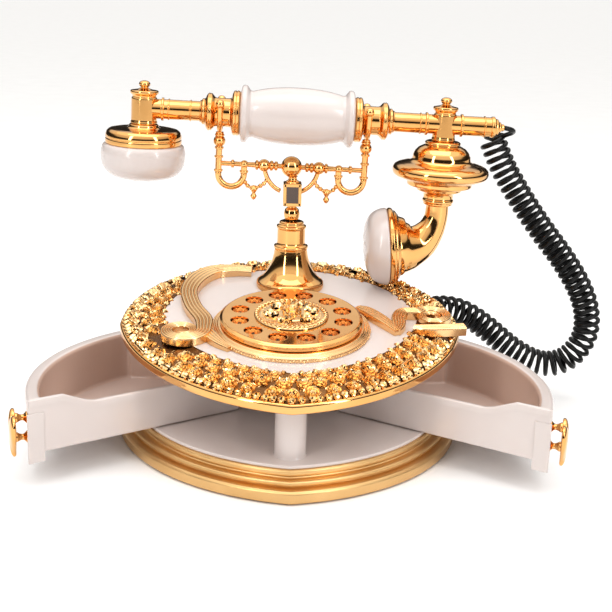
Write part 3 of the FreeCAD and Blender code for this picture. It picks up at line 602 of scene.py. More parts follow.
def make_roses():
    rng = random.Random(7)
    kinds = [rose(k) for k in range(5)]
    blade = leaf()
    # painted shade: dark sheet under the roses, where the gaps between them lie in shade
    gap_shade = plan_loft([(105.5, 5.6), (104.5, 7.4), (97.0, 9.6), (80.6, 12.0), (80.4, 12.8),
                        (80.0, 12.4), (80.0, 10.0)], 240, 0.3)
    piece("rose_gap_shade", [at(gap_shade, DECK)], ROSE_GAP_SHADE, "base", (), 40.0)
    parts = []
    for row, (half, w, count, size, lean) in enumerate(ROSE_ROWS):
        for k in range(count):
            s = (k + 0.5 * (row % 2) + rng.uniform(-0.12, 0.12)) / count
            x, v = plan_point(half, s % 1.0)
            low = under_scroll(x, v)
            big = size * rng.uniform(0.88, 1.1) * (0.8 if low else 1.0)
            drop = -2.6 if low else 0.0
            spin = rng.uniform(0, 6.28)
            tilt = lean + rng.uniform(-8, 8)
            place = band_frame(s, half, w + drop, tilt, spin, big)
            parts.append(at(rng.choice(kinds), place))
            if low:
                continue
            for turn in (rng.uniform(0, 3.0), rng.uniform(3.0, 6.28)):
                near = band_frame(s + 0.5 / count, half - 4.2 + rng.uniform(-1, 1), w + 0.4, tilt,
                                  turn, 4.4 * rng.uniform(0.8, 1.2))
                parts.append(at(blade, near))
    for k in range(120):
        s = (k + rng.uniform(-0.2, 0.2)) / 120
        x, v = plan_point(104.0, s)
        stem = band_frame(s, 103.6, 6.6, 62.0, pi / 2 + rng.uniform(-0.4, 0.4), 6.6)
        parts.append(at(blade, stem))
    piece("rose_relief", parts, CAST, "base", ["rose_band"], 55.0)


# ---- dial ----
def hole_places():
    out = []
    for k in range(12):
        a = radians(15.0 + 30.0 * k)
        out.append((HOLE_RING_R * cos(a), DIAL_V + HOLE_RING_R * sin(a)))
    return out


def wreath(radius, count, z, size):
    """Rope border: slanting beads round a circle."""
    parts = []
    for k in range(count):
        a = 2 * pi * k / count
        place = (shift(radius * cos(a), radius * sin(a), z)
                 @ Matrix.Rotation(a + radians(90 - 38), 4, "Z")
                 @ Matrix.Diagonal((size * 1.7, size * 0.8, size * 0.8, 1)))
        parts.append(at(ball(1.0, segments=12), place))
    return parts


def make_dial():
    base = [(39.6, 12.3), (49.0, 12.3), (49.0, 14.4), (48.6, 14.9), (48.0, 14.6), (47.4, 15.2),
            (46.9, 14.9), (46.3, 15.7), (45.8, 15.5), (45.2, 16.3), (44.0, 16.4), (39.6, 16.4)]
    studs = []
    rng = random.Random(3)
    for k in range(150):
        a = 2 * pi * k / 150
        size = 0.7 * rng.uniform(0.7, 1.3)
        studs.append(moved(ball(size, segments=8), 48.75 * cos(a), 48.75 * sin(a),
                           13.2 + rng.uniform(-0.4, 0.5)))
    place = DECK @ shift(0, DIAL_V, 0)
    ring = turned(base, 128, 0.25, 2)
    piece("dial_ring", placed([ring] + studs, place), SCROLL, "base", ["dial_base_ring"], 40.0)
    rings = []
    for x, v in hole_places():
        lip = turned([(5.72, 20.6), (5.8, 21.25), (6.35, 21.2), (6.6, 20.9)], 32, 0.2, 2)
        rings.append(at(moved(lip, x, v), DECK))
    edge = turned([(43.3, 16.7), (44.05, 17.5), (44.05, 19.6), (43.6, 20.3), (42.4, 21.2),
                   (41.4, 21.25), (41.0, 21.0)], 128, 0.4, 3)
    rings.append(at(edge, place))
    piece("dial_trim", rings, GOLD, "base", (), 40.0)
    make_medallion(place)


def make_medallion(place):
    disc = turned([(23.0, 21.2), (23.0, 22.0), (22.2, 22.6), (20.2, 22.2), (19.2, 22.6),
                   (13.0, 23.0), (12.0, 23.6), (0, 24.2)], 96, 0.5)
    parts = [disc] + [moved(p) for p in wreath(21.4, 44, 22.5, 1.05)]
    parts += [moved(p) for p in wreath(18.2, 40, 22.5, 0.6)]
    centre = at(rose(9), shift(0, 0, 22.6) @ Matrix.Scale(7.4, 4))
    parts.append(centre)
    blade = leaf()
    for k in range(6):
        a = radians(60 * k + 12)
        for turn, reach, size in ((0.5, 11.6, 8.4), (-0.6, 13.4, 6.4), (0.1, 15.0, 5.4)):
            spot = (shift(reach * cos(a + 0.25 * turn),
                                        reach * sin(a + 0.25 * turn), 22.3)
                    @ Matrix.Rotation(a + turn, 4, "Z") @ Matrix.Scale(size, 4))
            parts.append(at(blade, spot))
    for k in range(5):
        a = radians(72 * k + 40)
        spot = (shift(15.2 * cos(a), 15.2 * sin(a), 22.4)
                @ Matrix.Scale(3.0, 4))
        parts.append(at(rose(20 + k, 9, 20), spot))
    piece("dial_medallion", placed(parts, place), CAST, "base", ["dial_medallion"], 45.0)


def button_head():
    """Round button with a ring of scalloped petals standing round its face."""
    verts, rings = [], []
    shape = [(5.15, 15.8), (5.15, 18.6), (5.1, 19.4), (4.7, 19.7), (4.0, 19.2), (3.3, 18.7),
             (2.4, 18.8), (1.2, 19.0)]
    for r, h in shape:
        rings.append(list(range(len(verts), len(verts) + 64)))
        for k in range(64):
            a = 2 * pi * k / 64
            lobe = abs(cos(4 * a))
            high = h + (0.55 * lobe if h > 18.65 and r > 3.9 else 0.0)
            reach = r - (0.9 * (1.0 - lobe) if 3.2 < r < 4.8 else 0.0)
            verts.append((reach * cos(a), reach * sin(a), high))
    verts.append((0, 0, 19.05))
    rings.append([len(verts) - 1] * 64)
    return verts, skin(rings, True)


def make_buttons():
    """Twelve buttons with generic keypad signs; the hole at the lower left is number 1."""
    head = button_head()
    signs = ["6", "5", "4", "3", "2", "1", "0", "9", "8", "7", "#", "*"]
    for k, (x, v) in enumerate(hole_places()):
        name = f"key_button_{k + 1:02d}"
        body = body_of(name)
        piece(f"flower_{k + 1:02d}", [at(moved(head, x, v), DECK)], AMBER, body, [name], 40.0)
        text = bpy.data.curves.new(f"sign_{k + 1:02d}", "FONT")
        text.body = signs[k]
        text.size = 0.0042
        text.extrude = 0.00012
        text.align_x, text.align_y = "CENTER", "CENTER"
        text.materials.append(INK)
        sign = show(f"sign_{k + 1:02d}", text)
        sign.matrix_world = (shift(0, 0, RIM_Z * 0.001) @ spun(TILT, "X")
                             @ Matrix.Translation(Vector((x, v, 19.15)) * 0.001))
        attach(sign, body)


# ---- scroll ornaments ----
def strip(line, grooves=5, bottom=12.4):
    """Grooved strip along (x, v, half width, top height) points."""
    verts, rings = [], []
    count = 6 * grooves + 1
    for i, p in enumerate(line):
        a, b = line[max(i - 1, 0)], line[min(i + 1, len(line) - 1)]
        ahead = Vector((b[0] - a[0], b[1] - a[1])).normalized()
        side = Vector((-ahead.y, ahead.x))
        half, top = p[2], p[3]
        ring = [(-half, bottom), (-half, top - 1.0)]
        for k in range(count):
            u = -1.0 + 2.0 * k / (count - 1)
            ridge = abs(sin(pi * grooves * (u + 1.0) / 2.0)) ** 0.6
            crown = 0.9 * (1.0 - u * u)
            ring.append((u * half, top - 0.9 + 0.75 * ridge + crown * 0.5))
        ring += [(half, top - 1.0), (half, bottom)]
        add_ring(verts, rings, [(p[0] + side.x * offset, p[1] + side.y * offset, h)
                                for offset, h in ring])
    return capped(verts, rings)


def curl(x, y, radii, start, sweep, halves, tops, steps=30):
    """Points of a scroll's spiral; radius, half width and height run from first to last."""
    out = []
    for i in range(steps + 1):
        t = i / steps
        a = radians(start + sweep * t)
        r = radii[0] + (radii[1] - radii[0]) * t
        out.append((x + r * cos(a), y + r * sin(a),
                    halves[0] + (halves[1] - halves[0]) * t, tops[0] + (tops[1] - tops[0]) * t))
    return out


def make_scrolls():
    arm = [(-26.0, 71.0, 5.0, 16.4), (-38.0, 71.5, 6.0, 17.0), (-52.0, 67.0, 6.6, 17.6),
           (-62.0, 52.0, 6.6, 17.8), (-66.0, 30.0, 5.6, 17.6), (-62.0, 6.0, 5.6, 17.6),
           (-54.5, -14.0, 5.8, 17.6)]
    arm += curl(-66.0, -32.0, (13.0, 3.4), 12.0, -540.0, (4.8, 1.8), (17.8, 16.4))
    foot_leaf = [(-55.0, -22.0, 3.2, 15.4), (-50.5, -33.0, 4.6, 16.6), (-44.0, -44.0, 3.6, 16.2),
                 (-37.0, -52.5, 1.6, 15.2)]
    parts = [strip(blended(arm, 8)), strip(blended(foot_leaf, 8), 4)]
    piece("left_scroll", placed(parts, DECK), SCROLL, "base", ["scroll_left"], 50.0)
    rise = [(65.0, -24.5, 2.4, 16.4), (67.0, -16.0, 4.2, 17.2), (67.6, -6.0, 4.4, 17.8),
            (71.5, 2.0, 4.0, 18.0)]
    rise += curl(89.2, -4.0, (11.0, 2.8), 145.0, -560.0, (3.6, 1.5), (18.2, 16.6))
    link = [(43.0, 11.0, 2.6, 16.0), (48.0, 5.0, 4.0, 17.2), (54.0, -4.0, 4.2, 17.4),
            (60.0, -14.0, 3.6, 17.0), (65.5, -25.0, 2.2, 16.2)]
    tail = [(76.0, -19.5, 2.6, 16.6), (84.0, -21.5, 3.8, 17.4), (95.0, -21.5, 4.0, 17.8),
            (107.5, -19.5, 4.0, 17.8)]
    parts = [strip(blended(rise, 8)), strip(blended(link, 8), 4), strip(blended(tail, 8), 4)]
    piece("right_scroll", placed(parts, DECK), SCROLL, "base", ["scroll_right"], 50.0)


# ---- bell column and cradle ----
def make_bell():
    flare = [(21.6, 89.4), (22.6, 90.0), (22.0, 90.9), (18.6, 93.6), (15.6, 97.4), (13.3, 102.0),
             (11.7, 107.5), (10.9, 112.4), (11.4, 113.4), (11.4, 115.0), (9.9, 115.6),
             (9.3, 116.8), (9.3, 126.4), (9.9, 127.0), (9.9, 128.4), (8.2, 129.2), (8.2, 130.8),
             (7.2, 131.4), (3.8, 131.4)]
    skirt = [(22.5, 82.0), (22.5, 89.2), (21.6, 89.4)]
    smooth = blended(flare[2:8], 6)
    bell = turned(skirt[:2] + flare[:2] + smooth + flare[8:], 96, 0.5)
    piece("bell", [moved(bell, 0, COLUMN_Y)], GOLD, "base", ["bell_cover"])


def make_stem():
    knob = [(0, 131.5), (3.4, 131.6), (4.9, 133.2), (5.3, 136.4), (4.7, 139.2), (3.2, 140.4),
            (3.0, 141.0), (3.4, 141.6), (5.6, 142.0)]
    shaft = turned([(5.6, 64.6), (5.6, 66.4), (3.5, 66.4), (3.5, 132.0)], 48, 0.2)
    arm = moved(rounded_box(10.0, 4.0, 1.6, 0.3), 7.0, 0, 65.6)
    parts = placed((turned(knob, 64, 0.7), shaft, arm), COLUMN)
    piece("stem", parts, GOLD, "cradle", ["cradle_stem"])


def make_gem_block():
    core = rounded_box(9.6, 9.6, 14.6, 0.3)
    parts = [moved(core, 0, 0, 149.5)]
    for turn in range(4):
        spin = spun(90 * turn, "Z")
        for x, z, w, h in ((0, 143.2, 11.8, 2.4), (0, 155.8, 11.8, 2.4), (-4.9, 149.5, 2.1, 14.6),
                           (4.9, 149.5, 2.1, 14.6)):
            parts.append(at(moved(rounded_box(w, 1.1, h, 0.35), x, -5.35, z), spin))
    parts.append(turned([(0, 157.0), (5.0, 157.0), (4.4, 158.0), (3.0, 158.8), (2.8, 160.4),
                         (3.4, 161.2), (0, 161.4)], 48, 0.4))
    piece("gem_frame", placed(parts, COLUMN), GOLD, "cradle", ["gem_block"])


def cross_profile():
    """(radius, distance) pairs of the yoke's turned crossbar, from the middle out."""
    line = [(0, 0), (1.6, 0.4), (1.6, 8.8), (3.0, 9.4), (3.0, 10.8), (1.8, 11.6), (3.2, 12.4),
            (3.4, 13.8), (2.0, 14.6)]
    line += [(4.1 * sin(a), 18.0 - 4.1 * cos(a))
             for a in [radians(30 + 12 * k) for k in range(11)]]
    line += [(2.2, 21.6), (3.2, 22.0), (3.2, 23.4), (1.8, 24.0), (1.6, 28.2)]
    line += [(2.7 * sin(a), 31.0 - 2.7 * cos(a))
             for a in [radians(36 + 12 * k) for k in range(10)]]
    return line + [(1.6, 33.8), (1.6, 37.4), (2.6, 37.8), (2.6, 39.3), (1.6, 39.8), (1.6, 47.8)]


def yoke_side():
    y = COLUMN_Y
    lay = shift(0, y, YOKE_Z) @ spun(90, "Y")
    parts = [at(turned(cross_profile(), 32, 0.15, 2), lay)]
    parts.append(bow(0.0, YOKE_Z, 17.6, 1.5, 0.0, -68.0))
    parts.append(bow(39.4, 160.6, 8.4, 2.1, 180.0, 180.0))
    for x, top in ((31.0, YOKE_Z), (47.8, 179.2)):
        parts.append(moved(turned([(2.1, 160.6), (2.3, 161.0), (2.1, 161.6), (2.1, top)], 32, 0.2),
                           x, y))
    for x, z in ((31.0, 162.6), (47.8, 162.6), (47.8, 171.6), (47.8, 177.4)):
        parts.append(moved(turned([(2.0, -0.9), (2.9, -0.6), (2.9, 0.6), (2.0, 0.9)], 32, 0.3),
                           x, y, z))
    twig = [(15.4, y, 158.3), (17.6, y - 0.6, 155.4), (20.4, y + 0.5, 153.2), (24.0, y, 151.8),
            (27.6, y - 0.5, 153.0), (29.8, y + 0.4, 155.2), (31.2, y, 158.6)]
    line = blended(twig, 6)
    radii = [1.25 + 0.35 * sin(1.3 * k) for k in range(len(line))]
    parts.append(tube(line, radii, 14))
    parts.append(moved(turned([(0, 144.0), (1.1, 144.6), (2.3, 146.6), (1.0, 148.6), (1.5, 149.4),
                               (2.7, 151.6), (1.2, 153.6), (0, 154.0)], 32, 0.7), 24.0, y))
    parts.append(ball(3.9, FORK_X, y, 181.8))
    parts.append(moved(turned([(2.4, 184.6), (3.1, 185.2), (3.1, 186.0), (2.6, 186.6),
                               (2.6, 187.6)], 32, 0.3), FORK_X, y))
    return parts


def make_yoke():
    side = yoke_side()
    parts = side + placed(side, MIRROR) + [ball(6.9, 0.0, COLUMN_Y, YOKE_Z, 64)]
    piece("yoke", placed(parts, LEANED), GOLD, "cradle", ["cradle_yoke"])


def make_forks():
    y, z, r = COLUMN_Y, AXIS_Z, 11.6
    line = [(FORK_X, y - r - 1.3, z + 5.2), (FORK_X, y - r - 0.25, z + 1.4)]
    for k in range(25):
        a = pi + pi * k / 24
        line.append((FORK_X, y + r * cos(a), z + r * sin(a)))
    line += [(FORK_X, y + r + 0.25, z + 1.4), (FORK_X, y + r + 1.3, z + 5.2)]
    parts = [tube(line, 1.8, 16)]
    for side in (-1, 1):
        parts.append(ball(2.9, FORK_X, y + side * (r + 1.3), z + 6.6))
    parts += placed(parts, MIRROR)
    piece("forks", placed(parts, LEANED), GOLD, "cradle", ["cradle_forks"])


# ---- handset ----
def along_x(half):
    """Turned parts on the handset's axis from (distance, radius) pairs, right and left."""
    right = turned([(r, t) for t, r in half], 96, 0.7, 3)
    return [at(right, ALONG_X), at(right, ALONG_X @ FLIP)]


def make_grip():
    line = [(37.0, 8.0), (37.0, 14.0), (36.2, 17.6), (35.0, 18.4), (33.0, 18.2), (31.6, 16.4),
            (30.6, 14.9), (29.0, 14.8), (26.0, 15.6), (22.0, 16.5), (18.0, 17.2), (13.0, 17.8),
            (9.0, 18.1), (4.5, 18.35), (0.0, 18.4)]
    parts = along_x(line[:7] + blended(line[7:], 4))
    piece("grip", parts, WHITE, "handset", ["handset_grip"])


def make_collars():
    half = [(37.0, 7.0), (37.0, 13.6), (37.9, 14.4), (39.2, 14.5), (39.5, 13.9), (40.0, 14.5),
            (41.3, 14.3), (42.2, 12.6), (42.9, 9.6), (44.2, 9.2), (52.2, 9.2), (53.3, 9.5),
            (54.4, 10.8), (55.6, 12.1), (56.5, 11.8), (56.9, 12.1), (57.7, 12.0), (58.8, 10.6),
            (59.6, 8.6), (60.4, 8.2), (61.2, 8.4), (62.0, 7.2), (63.0, 6.9), (63.0, 6.4)]
    piece("collars", along_x(half), GOLD, "handset", ["grip_collars"])


def ring_at(t, radius, width):
    """Bead ring of the handset's tubes, t mm along the axis from its middle."""
    line = [(6.2, t - width), (radius, t - 0.7 * width), (radius, t + 0.7 * width),
            (6.2, t + width)]
    return at(turned(line, 48, 0.4, 3), ALONG_X)


def make_tubes():
    ends = ((-98.9, -62.6), (62.6, 126.5))
    parts = [at(turned([(6.3, a), (6.3, b)], 48, 0), ALONG_X) for a, b in ends]
    rings = ((EAR_X + 12.0, 7.4, 1.0), (EAR_X + 16.0, 6.9, 0.6), (EAR_X + 30.0, 6.9, 0.6),
             (MOUTH_X - 12.0, 7.4, 1.0), (MOUTH_X - 16.0, 6.9, 0.6), (MOUTH_X + 11.0, 7.4, 1.0),
             (MOUTH_X + 26.0, 6.9, 0.6))
    parts += [ring_at(x - HANDSET_X, r, w) for x, r, w in rings]
    piece("tubes", parts, GOLD, "handset", ["handset_tubes"])


def upright(barrel_r, low):
    top = [(barrel_r, low), (barrel_r + 0.5, low + 1.2), (barrel_r, low + 2.4), (barrel_r, 6.6),
           (barrel_r - 0.7, 7.2), (barrel_r - 0.5, 8.4), (barrel_r + 0.4, 9.2),
           (barrel_r + 0.9, 10.0), (barrel_r + 0.7, 11.4), (5.0, 12.0), (3.2, 12.6), (2.3, 13.4),
           (3.3, 14.2), (3.8, 15.2), (3.3, 16.6), (1.6, 17.5), (0, 17.6)]
    return turned([(0, low)] + top, 64, 0.6)


def make_columns():
    parts = [moved(upright(8.3, -10.2), EAR_X, COLUMN_Y, AXIS_Z),
             moved(upright(7.4, -10.7), MOUTH_X, COLUMN_Y, AXIS_Z)]
    piece("columns", placed(parts, LEANED), GOLD, "handset", ["handset_columns"])


def make_ear():
    cap = [(0, -10.2), (9.4, -10.2), (9.9, -12.2), (11.4, -12.8), (19.0, -13.1), (22.2, -13.6),
           (23.8, -14.9), (24.6, -17.0), (24.7, -18.6), (24.2, -19.1), (24.7, -19.6),
           (24.7, -22.2), (24.2, -23.0), (22.2, -23.0)]
    cup = [(21.4, -23.0), (24.4, -22.9), (25.6, -23.4), (26.5, -24.6), (27.3, -28.0),
           (27.2, -31.0), (26.8, -34.6), (25.9, -37.6), (24.4, -40.0), (22.2, -42.2),
           (19.0, -43.8), (14.5, -45.0), (10.0, -45.7), (5.0, -46.0), (0, -46.0)]
    place = LEANED @ shift(EAR_X, COLUMN_Y, AXIS_Z)
    piece("ear_top", [at(turned(cap, 96, 0.7, 4), place)], GOLD, "handset", ["ear_cap"])
    smooth = blended(cup[1:], 3)
    shell = turned(cup[:1] + smooth[:-1] + [(0, -46.0)], 96, 0)
    piece("ear_shell", [at(shell, place)] + placed(sound_holes(-46.05), place), WHITE,
          "handset", ["ear_cup"], 30.0)
    piece("ear_holes", placed(sound_plugs(-46.12), place), BLACK, "handset")


def hole_ring():
    out = [(0.0, 0.0)]
    return out + [(7.5 * cos(a), 7.5 * sin(a))
                  for a in [radians(60 * k) for k in range(6)]]


def sound_holes(z):
    """Raised lips of the sound holes."""
    lip = turned([(1.5, z + 0.5), (1.6, z - 0.15), (2.1, z - 0.1), (2.3, z + 0.5)], 24, 0.1, 2)
    return [moved(lip, x, y) for x, y in hole_ring()]


def sound_plugs(z):
    """Dark bottoms of the sound holes."""
    disc = turned([(0, z), (1.2, z), (1.55, z + 0.1), (1.55, z + 0.6)], 24, 0.05, 2)
    return [moved(disc, x, y) for x, y in hole_ring()]


def make_flange():
    line = [(0, -10.7), (10.6, -10.7), (11.6, -11.4), (11.8, -12.4), (11.0, -13.4), (12.4, -13.8),
            (15.6, -15.4), (17.8, -17.8), (18.9, -20.4), (19.2, -23.0), (20.2, -24.0),
            (21.6, -24.6), (24.4, -25.2), (28.0, -26.2), (30.4, -27.4), (31.6, -29.2),
            (31.7, -31.4), (31.0, -33.2), (29.4, -34.4), (26.6, -35.0), (26.0, -35.6),
            (24.4, -35.8), (23.8, -36.4), (22.0, -36.8), (21.5, -37.6), (21.4, -39.8),
            (20.2, -40.4), (17.0, -40.8), (15.2, -41.4), (14.8, -43.2), (12.4, -44.0),
            (10.6, -44.8), (9.8, -46.2), (9.6, -48.4), (10.3, -49.4), (10.3, -50.6), (9.6, -51.4),
            (9.6, -52.6), (7.6, -53.4), (6.0, -53.6)]
    place = LEANED @ shift(MOUTH_X, COLUMN_Y, AXIS_Z)
    piece("flange", [at(turned(line, 128, 0.8, 3), place)], GOLD, "handset", ["mouth_flange"])


MOUTH_PLACE = LEANED @ (shift(69.4, COLUMN_Y, 117.6)
                        @ spun(-95.4, "Y"))


def make_horn():
    z = AXIS_Z - 53.4
    stations = [(98.0, z + 1.0, 7.4), (97.9, 142.0, 7.6), (97.2, 136.6, 8.0), (94.6, 129.6, 9.4),
                (89.2, 122.6, 12.2), (82.2, 119.2, 16.0), (76.5, 118.3, 19.4), (71.0, 117.7, 21.2)]
    line = blended(stations, 8)
    elbow = tube([(x, COLUMN_Y, h) for x, h, r in line], [r for x, h, r in line], 64)
    bell = [(19.6, -5.0), (21.8, -4.6), (22.6, -3.6), (23.3, -3.4), (23.8, -2.6), (24.0, -1.6),
            (25.2, -1.2), (25.8, -0.2), (25.8, 1.4), (25.2, 2.2), (24.0, 2.6), (23.6, 2.6),
            (23.0, 0.0), (0, 0.0)]
    parts = [at(elbow, LEANED), at(turned(bell, 96, 0.5), MOUTH_PLACE)]
    piece("horn", parts, GOLD, "handset", ["mouth_horn"])
    cap = [(22.6, 2.6), (25.2, 2.7), (25.7, 3.4), (25.6, 5.2), (25.0, 7.8), (24.0, 10.2),
           (22.4, 12.6), (20.2, 14.5), (17.0, 16.2), (13.0, 17.4), (8.0, 18.2), (0, 18.5)]
    smooth = blended(cap[1:], 3)
    shell = turned(cap[:1] + smooth[:-1] + [(0, 18.55)], 96, 0)
    lips = placed(sound_holes(-18.1), FLIP)
    piece("mouthpiece", placed([shell] + lips, MOUTH_PLACE), WHITE, "handset", ["mouth_cap"], 30.0)
    piece("mouth_holes", placed(sound_plugs(-18.2), MOUTH_PLACE @ FLIP), BLACK, "handset")


def make_tube_end():
    x = 128.4 - HANDSET_X
    line = [(0, x - 0.4), (6.3, x - 0.4), (6.9, x + 0.4), (6.9, x + 2.2), (5.6, x + 2.8),
            (5.4, x + 4.2), (4.4, x + 4.9), (3.6, x + 5.2), (3.4, x + 6.4), (2.4, x + 6.8),
            (2.2, x + 8.7), (0, x + 8.7)]
    piece("tube_tip", [at(turned(line, 48, 0.5), ALONG_X)], GOLD, "handset", ["tube_end"])


# ---- drawers ----
def moulded(node, voxel, rounds):
    """A CAD node's shape with its edges rounded, as points in mm and faces."""
    obj = show("mould", frame["nodes"][node].data.copy())
    remesh = obj.modifiers.new("remesh", "REMESH")
    remesh.mode = "VOXEL"
    remesh.voxel_size = voxel
    smooth = obj.modifiers.new("smooth", "SMOOTH")
    smooth.factor = 0.5
    smooth.iterations = rounds
    bpy.context.view_layer.update()
    mesh = bpy.data.meshes.new_from_object(obj.evaluated_get(bpy.context.evaluated_depsgraph_get()))
    part = [v.co * 1000 for v in mesh.vertices], [list(f.vertices) for f in mesh.polygons]
    bpy.data.objects.remove(obj)
    bpy.data.meshes.remove(mesh)
    return part


WALL_FACE, WALL_BACK = -10.05, -13.3     # x of the straight wall's faces when shut
TRAY_OUT = 105.3                         # half width of the tray's curved wall
TRAY_VOXEL = 0.0007
INSIDE_Z = 0.036                         # m, height of the tray's middle
# painted shade and painted warm bounce light from the gold, for the tray's inside
TRAY_BOUNCE_SHADE = (0.60, 0.425, 0.345, 1)


def wall_top(y):
    """Height of the straight wall's upper edge, y mm along it when the drawer is shut."""
    t = min(1.0, max(0.0, (y + 86.0) / 26.0))
    return 53.4 - 7.5 * t * t * (3 - 2 * t)


def wall_lip():
    """Rounded lip along the straight wall's edge."""
    section = soften([(WALL_FACE, -4.4), (WALL_FACE, 0.0), (WALL_BACK, 0.0), (WALL_BACK, -4.4)],
                     0.9, 4)
    verts, rings = [], []
    for k in range(121):
        y = -103.6 + 137.6 * k / 120
        add_ring(verts, rings, [(x, y, wall_top(y) + h) for x, h in section])
    return capped(verts, rings)


def end_panel():
    """Flat end of the thick curved wall, standing just proud of the straight wall."""
    return moved(rounded_box(1.1, 10.2, 30.4, 0.35), -10.35, -99.6, 30.2)


def pull_place():
    c = FRONT_FLAT * TRAY_OUT
    out = Vector((-23.0 - c, -104.2 - c, 0)).normalized()
    up = Vector((0, 0, 1))
    side = up.cross(out)
    base = Vector((c, c, 33.5)) + out * hypot(c, TRAY_OUT + c)
    return Matrix.Translation(base) @ Matrix((side, up, out)).transposed().to_4x4()


def heart():
    """Heart plate, domed, with a raised border; front face at 9.6."""
    outline = []
    for k in range(72):
        a = 2 * pi * k / 72
        x = 12.2 * sin(a) ** 3
        y = (10.6 * cos(a) - 4.2 * cos(2 * a) - 1.6 * cos(3 * a)
             - 0.5 * cos(4 * a))
        outline.append((x, y - 1.6))
    verts, rings = [], []
    for scale, z in ((0.90, 7.0), (0.98, 7.1), (1.03, 7.6), (1.04, 8.2), (1.02, 8.9), (0.95, 9.6),
                     (0.82, 10.2), (0.6, 10.7), (0.3, 11.0)):
        add_ring(verts, rings, [(x * scale, (y + 0.5) * 1.14 * scale - 0.5, z)
                                for x, y in outline])
    verts.append((0, -0.5, 11.1))
    rings.append([len(verts) - 1] * 72)
    return verts, skin(rings, True) + [rings[0][::-1]]


def pull_parts():
    post = turned([(0, -9.0), (2.9, -9.0), (2.9, -7.8), (1.45, -7.6), (1.45, 0.1), (3.6, 0.1),
                   (3.6, 0.8), (2.8, 1.5), (1.9, 2.4), (1.7, 3.5), (2.1, 4.8), (2.9, 6.0),
                   (3.0, 7.2), (0, 7.3)], 32, 0.4)
    return [heart()] + [moved(post, 0, h) for h in (-6.0, 6.0)]


def bounce_shaded_white(name, centre):
    """The white plastic with painted shade and painted warm light bounced from the gold, browner
    where it faces the tray's inside; centre in metres.
    """
    mat = WHITE.copy()
    mat.name = name
    tree = mat.node_tree
    shader = tree.nodes["Principled BSDF"]
    outer = shader.inputs["Base Color"].links[0].from_socket
    where = add(tree, "TexCoord")
    inward = add(tree, "VectorMath", {0: centre}, operation="SUBTRACT")
    facing = add(tree, "VectorMath", operation="DOT_PRODUCT")
    depth = add(tree, "MapRange", {"From Min": 0.002, "From Max": 0.020})
    mix = add(tree, "Mix", {"B": TRAY_BOUNCE_SHADE}, data_type="RGBA")
    link = tree.links.new
    link(where.outputs["Object"], inward.inputs[1])
    link(inward.outputs["Vector"], facing.inputs[0])
    link(where.outputs["Normal"], facing.inputs[1])
    link(facing.outputs["Value"], depth.inputs["Value"])
    link(depth.outputs["Result"], mix.inputs["Factor"])
    link(outer, mix.inputs["A"])
    link(mix.outputs["Result"], shader.inputs["Base Color"])
    return mat


def make_drawers():
    place = SWUNG @ pull_place()
    left = [at(p, place) for p in pull_parts()]
    tray = moulded("drawer_tray_left", TRAY_VOXEL, 5)
    trim = [at(p, SWUNG) for p in (wall_lip(), end_panel())]
    middle = sum((Vector(v) for v in tray[0]), Vector()) / len(tray[0]) * 0.001
    for side in ("left", "right"):
        turn = WORLD if side == "left" else MIRROR
        node = f"drawer_tray_{side}"
        # the tray's colour carries painted shade and painted bounce light on its inside
        look = bounce_shaded_white(f"bounce_shaded_plastic_{side}", (turn @ middle).to_tuple()[:2] + (INSIDE_Z,))
        piece(f"tray_{side}", [at(tray, turn)], look, f"drawer_{side}", [node], 60.0)
        piece(f"tray_trim_{side}", placed(trim, turn), WHITE, f"drawer_{side}", (),
              50.0)
        node = f"pull_heart_{side}"
        piece(f"heart_{side}", placed(left, turn), GOLD, f"drawer_{side}", [node])


# ---- studio ----
LIGHTS_AIM = Vector((0, 0, 0.11))
FLOOR_HALF = 60.0
SKY_STOPS = ((0.0, 0.04), (0.20, 0.02), (0.32, 0.06), (0.42, 0.75), (0.60, 1.0), (0.80, 0.92))


def soft_light(name, spot, size, energy):
    """Area light at a spot, aimed at the phone."""
    data = bpy.data.lights.new(name, "AREA")
    data.shape = "RECTANGLE"
    data.size, data.size_y = size
    data.energy = energy
    obj = show(name, data)
    obj.location = spot
    obj.rotation_euler = (Vector(spot) - LIGHTS_AIM).to_track_quat("Z", "Y").to_euler()


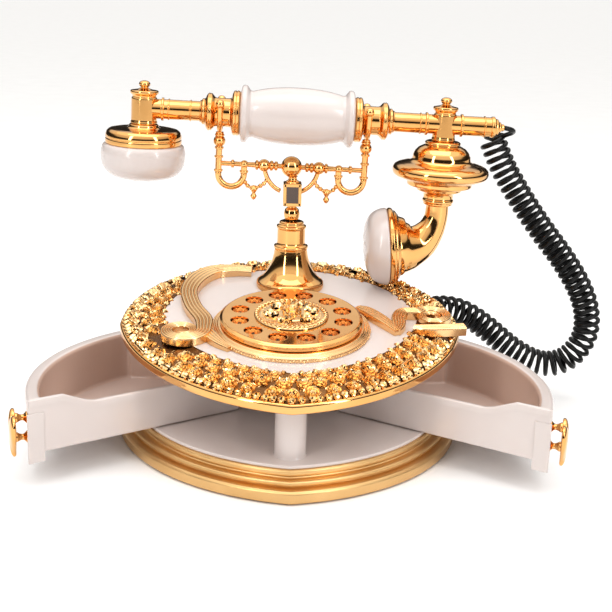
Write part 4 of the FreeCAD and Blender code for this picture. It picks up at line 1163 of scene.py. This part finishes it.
def make_world():
    """Pale studio: bright above, dark near the horizon for reflections, white to look at."""
    world = bpy.data.worlds.new("studio")
    bpy.context.scene.world = world
    world.use_nodes = True
    tree = world.node_tree
    back = tree.nodes["Background"]
    link = tree.links.new
    where = add(tree, "TexCoord")
    split = add(tree, "SeparateXYZ")
    ramp = add(tree, "ValToRGB")
    ramp.color_ramp.interpolation = "EASE"
    marks = ramp.color_ramp.elements
    for k, (spot, value) in enumerate(SKY_STOPS):
        mark = marks[k] if k < 2 else marks.new(spot)
        mark.position = spot
        mark.color = (value, value * 0.98, value * 0.95, 1)
    seen = add(tree, "LightPath")
    plain = add(tree, "Mix", {"B": (1, 1, 1, 1)}, data_type="RGBA")
    link(where.outputs["Generated"], split.inputs["Vector"])
    link(split.outputs["Z"], ramp.inputs["Fac"])
    link(seen.outputs["Is Camera Ray"], plain.inputs["Factor"])
    link(ramp.outputs["Color"], plain.inputs["A"])
    link(plain.outputs["Result"], back.inputs["Color"])
    back.inputs["Strength"].default_value = 1.05


def overhead():
    """Even light from above that keeps the floor white out to its edge."""
    data = bpy.data.lights.new("overhead", "SUN")
    data.energy = 0.8
    data.angle = 1.6
    show("overhead", data)


def make_floor():
    mesh = bpy.data.meshes.new("floor")
    r = FLOOR_HALF
    mesh.from_pydata([(-r, -r, 0), (r, -r, 0), (r, r, 0), (-r, r, 0)], [], [(0, 1, 2, 3)])
    mesh.materials.append(material("floor", (0.93, 0.93, 0.93), (0.96, 0.96, 0.96), 0.0,
                                   (0.5, 0.6), 30.0, 0.00001))
    floor = show("floor", mesh)


def dress_frame():
    """Gives every carried-over CAD node its node material."""
    for name, obj in frame["nodes"].items():
        look = SLOT_LOOKS[slot_of(name)]
        if not obj.material_slots:
            obj.data.materials.append(look)
        for place in obj.material_slots:
            place.material = look


for make in (make_camera, make_cord, make_boot, dress_frame, make_foot, make_deck, make_rim,
             make_roses, make_dial, make_buttons, make_scrolls, make_bell, make_stem,
             make_gem_block, make_yoke, make_forks, make_grip, make_collars, make_tubes,
             make_columns, make_ear, make_flange, make_horn, make_tube_end, make_drawers,
             make_floor, make_world, overhead):
    make()
soft_light("top", (0.0, -0.1, 1.5), (1.3, 0.9), 7.0)
soft_light("strip_left", (-0.9, -1.1, 0.75), (0.2, 1.2), 6.0)
soft_light("strip_right", (0.95, -1.0, 0.75), (0.2, 1.2), 6.0)
bpy.context.scene.view_settings.view_transform = "Standard"
bpy.context.scene.view_settings.look = "None"
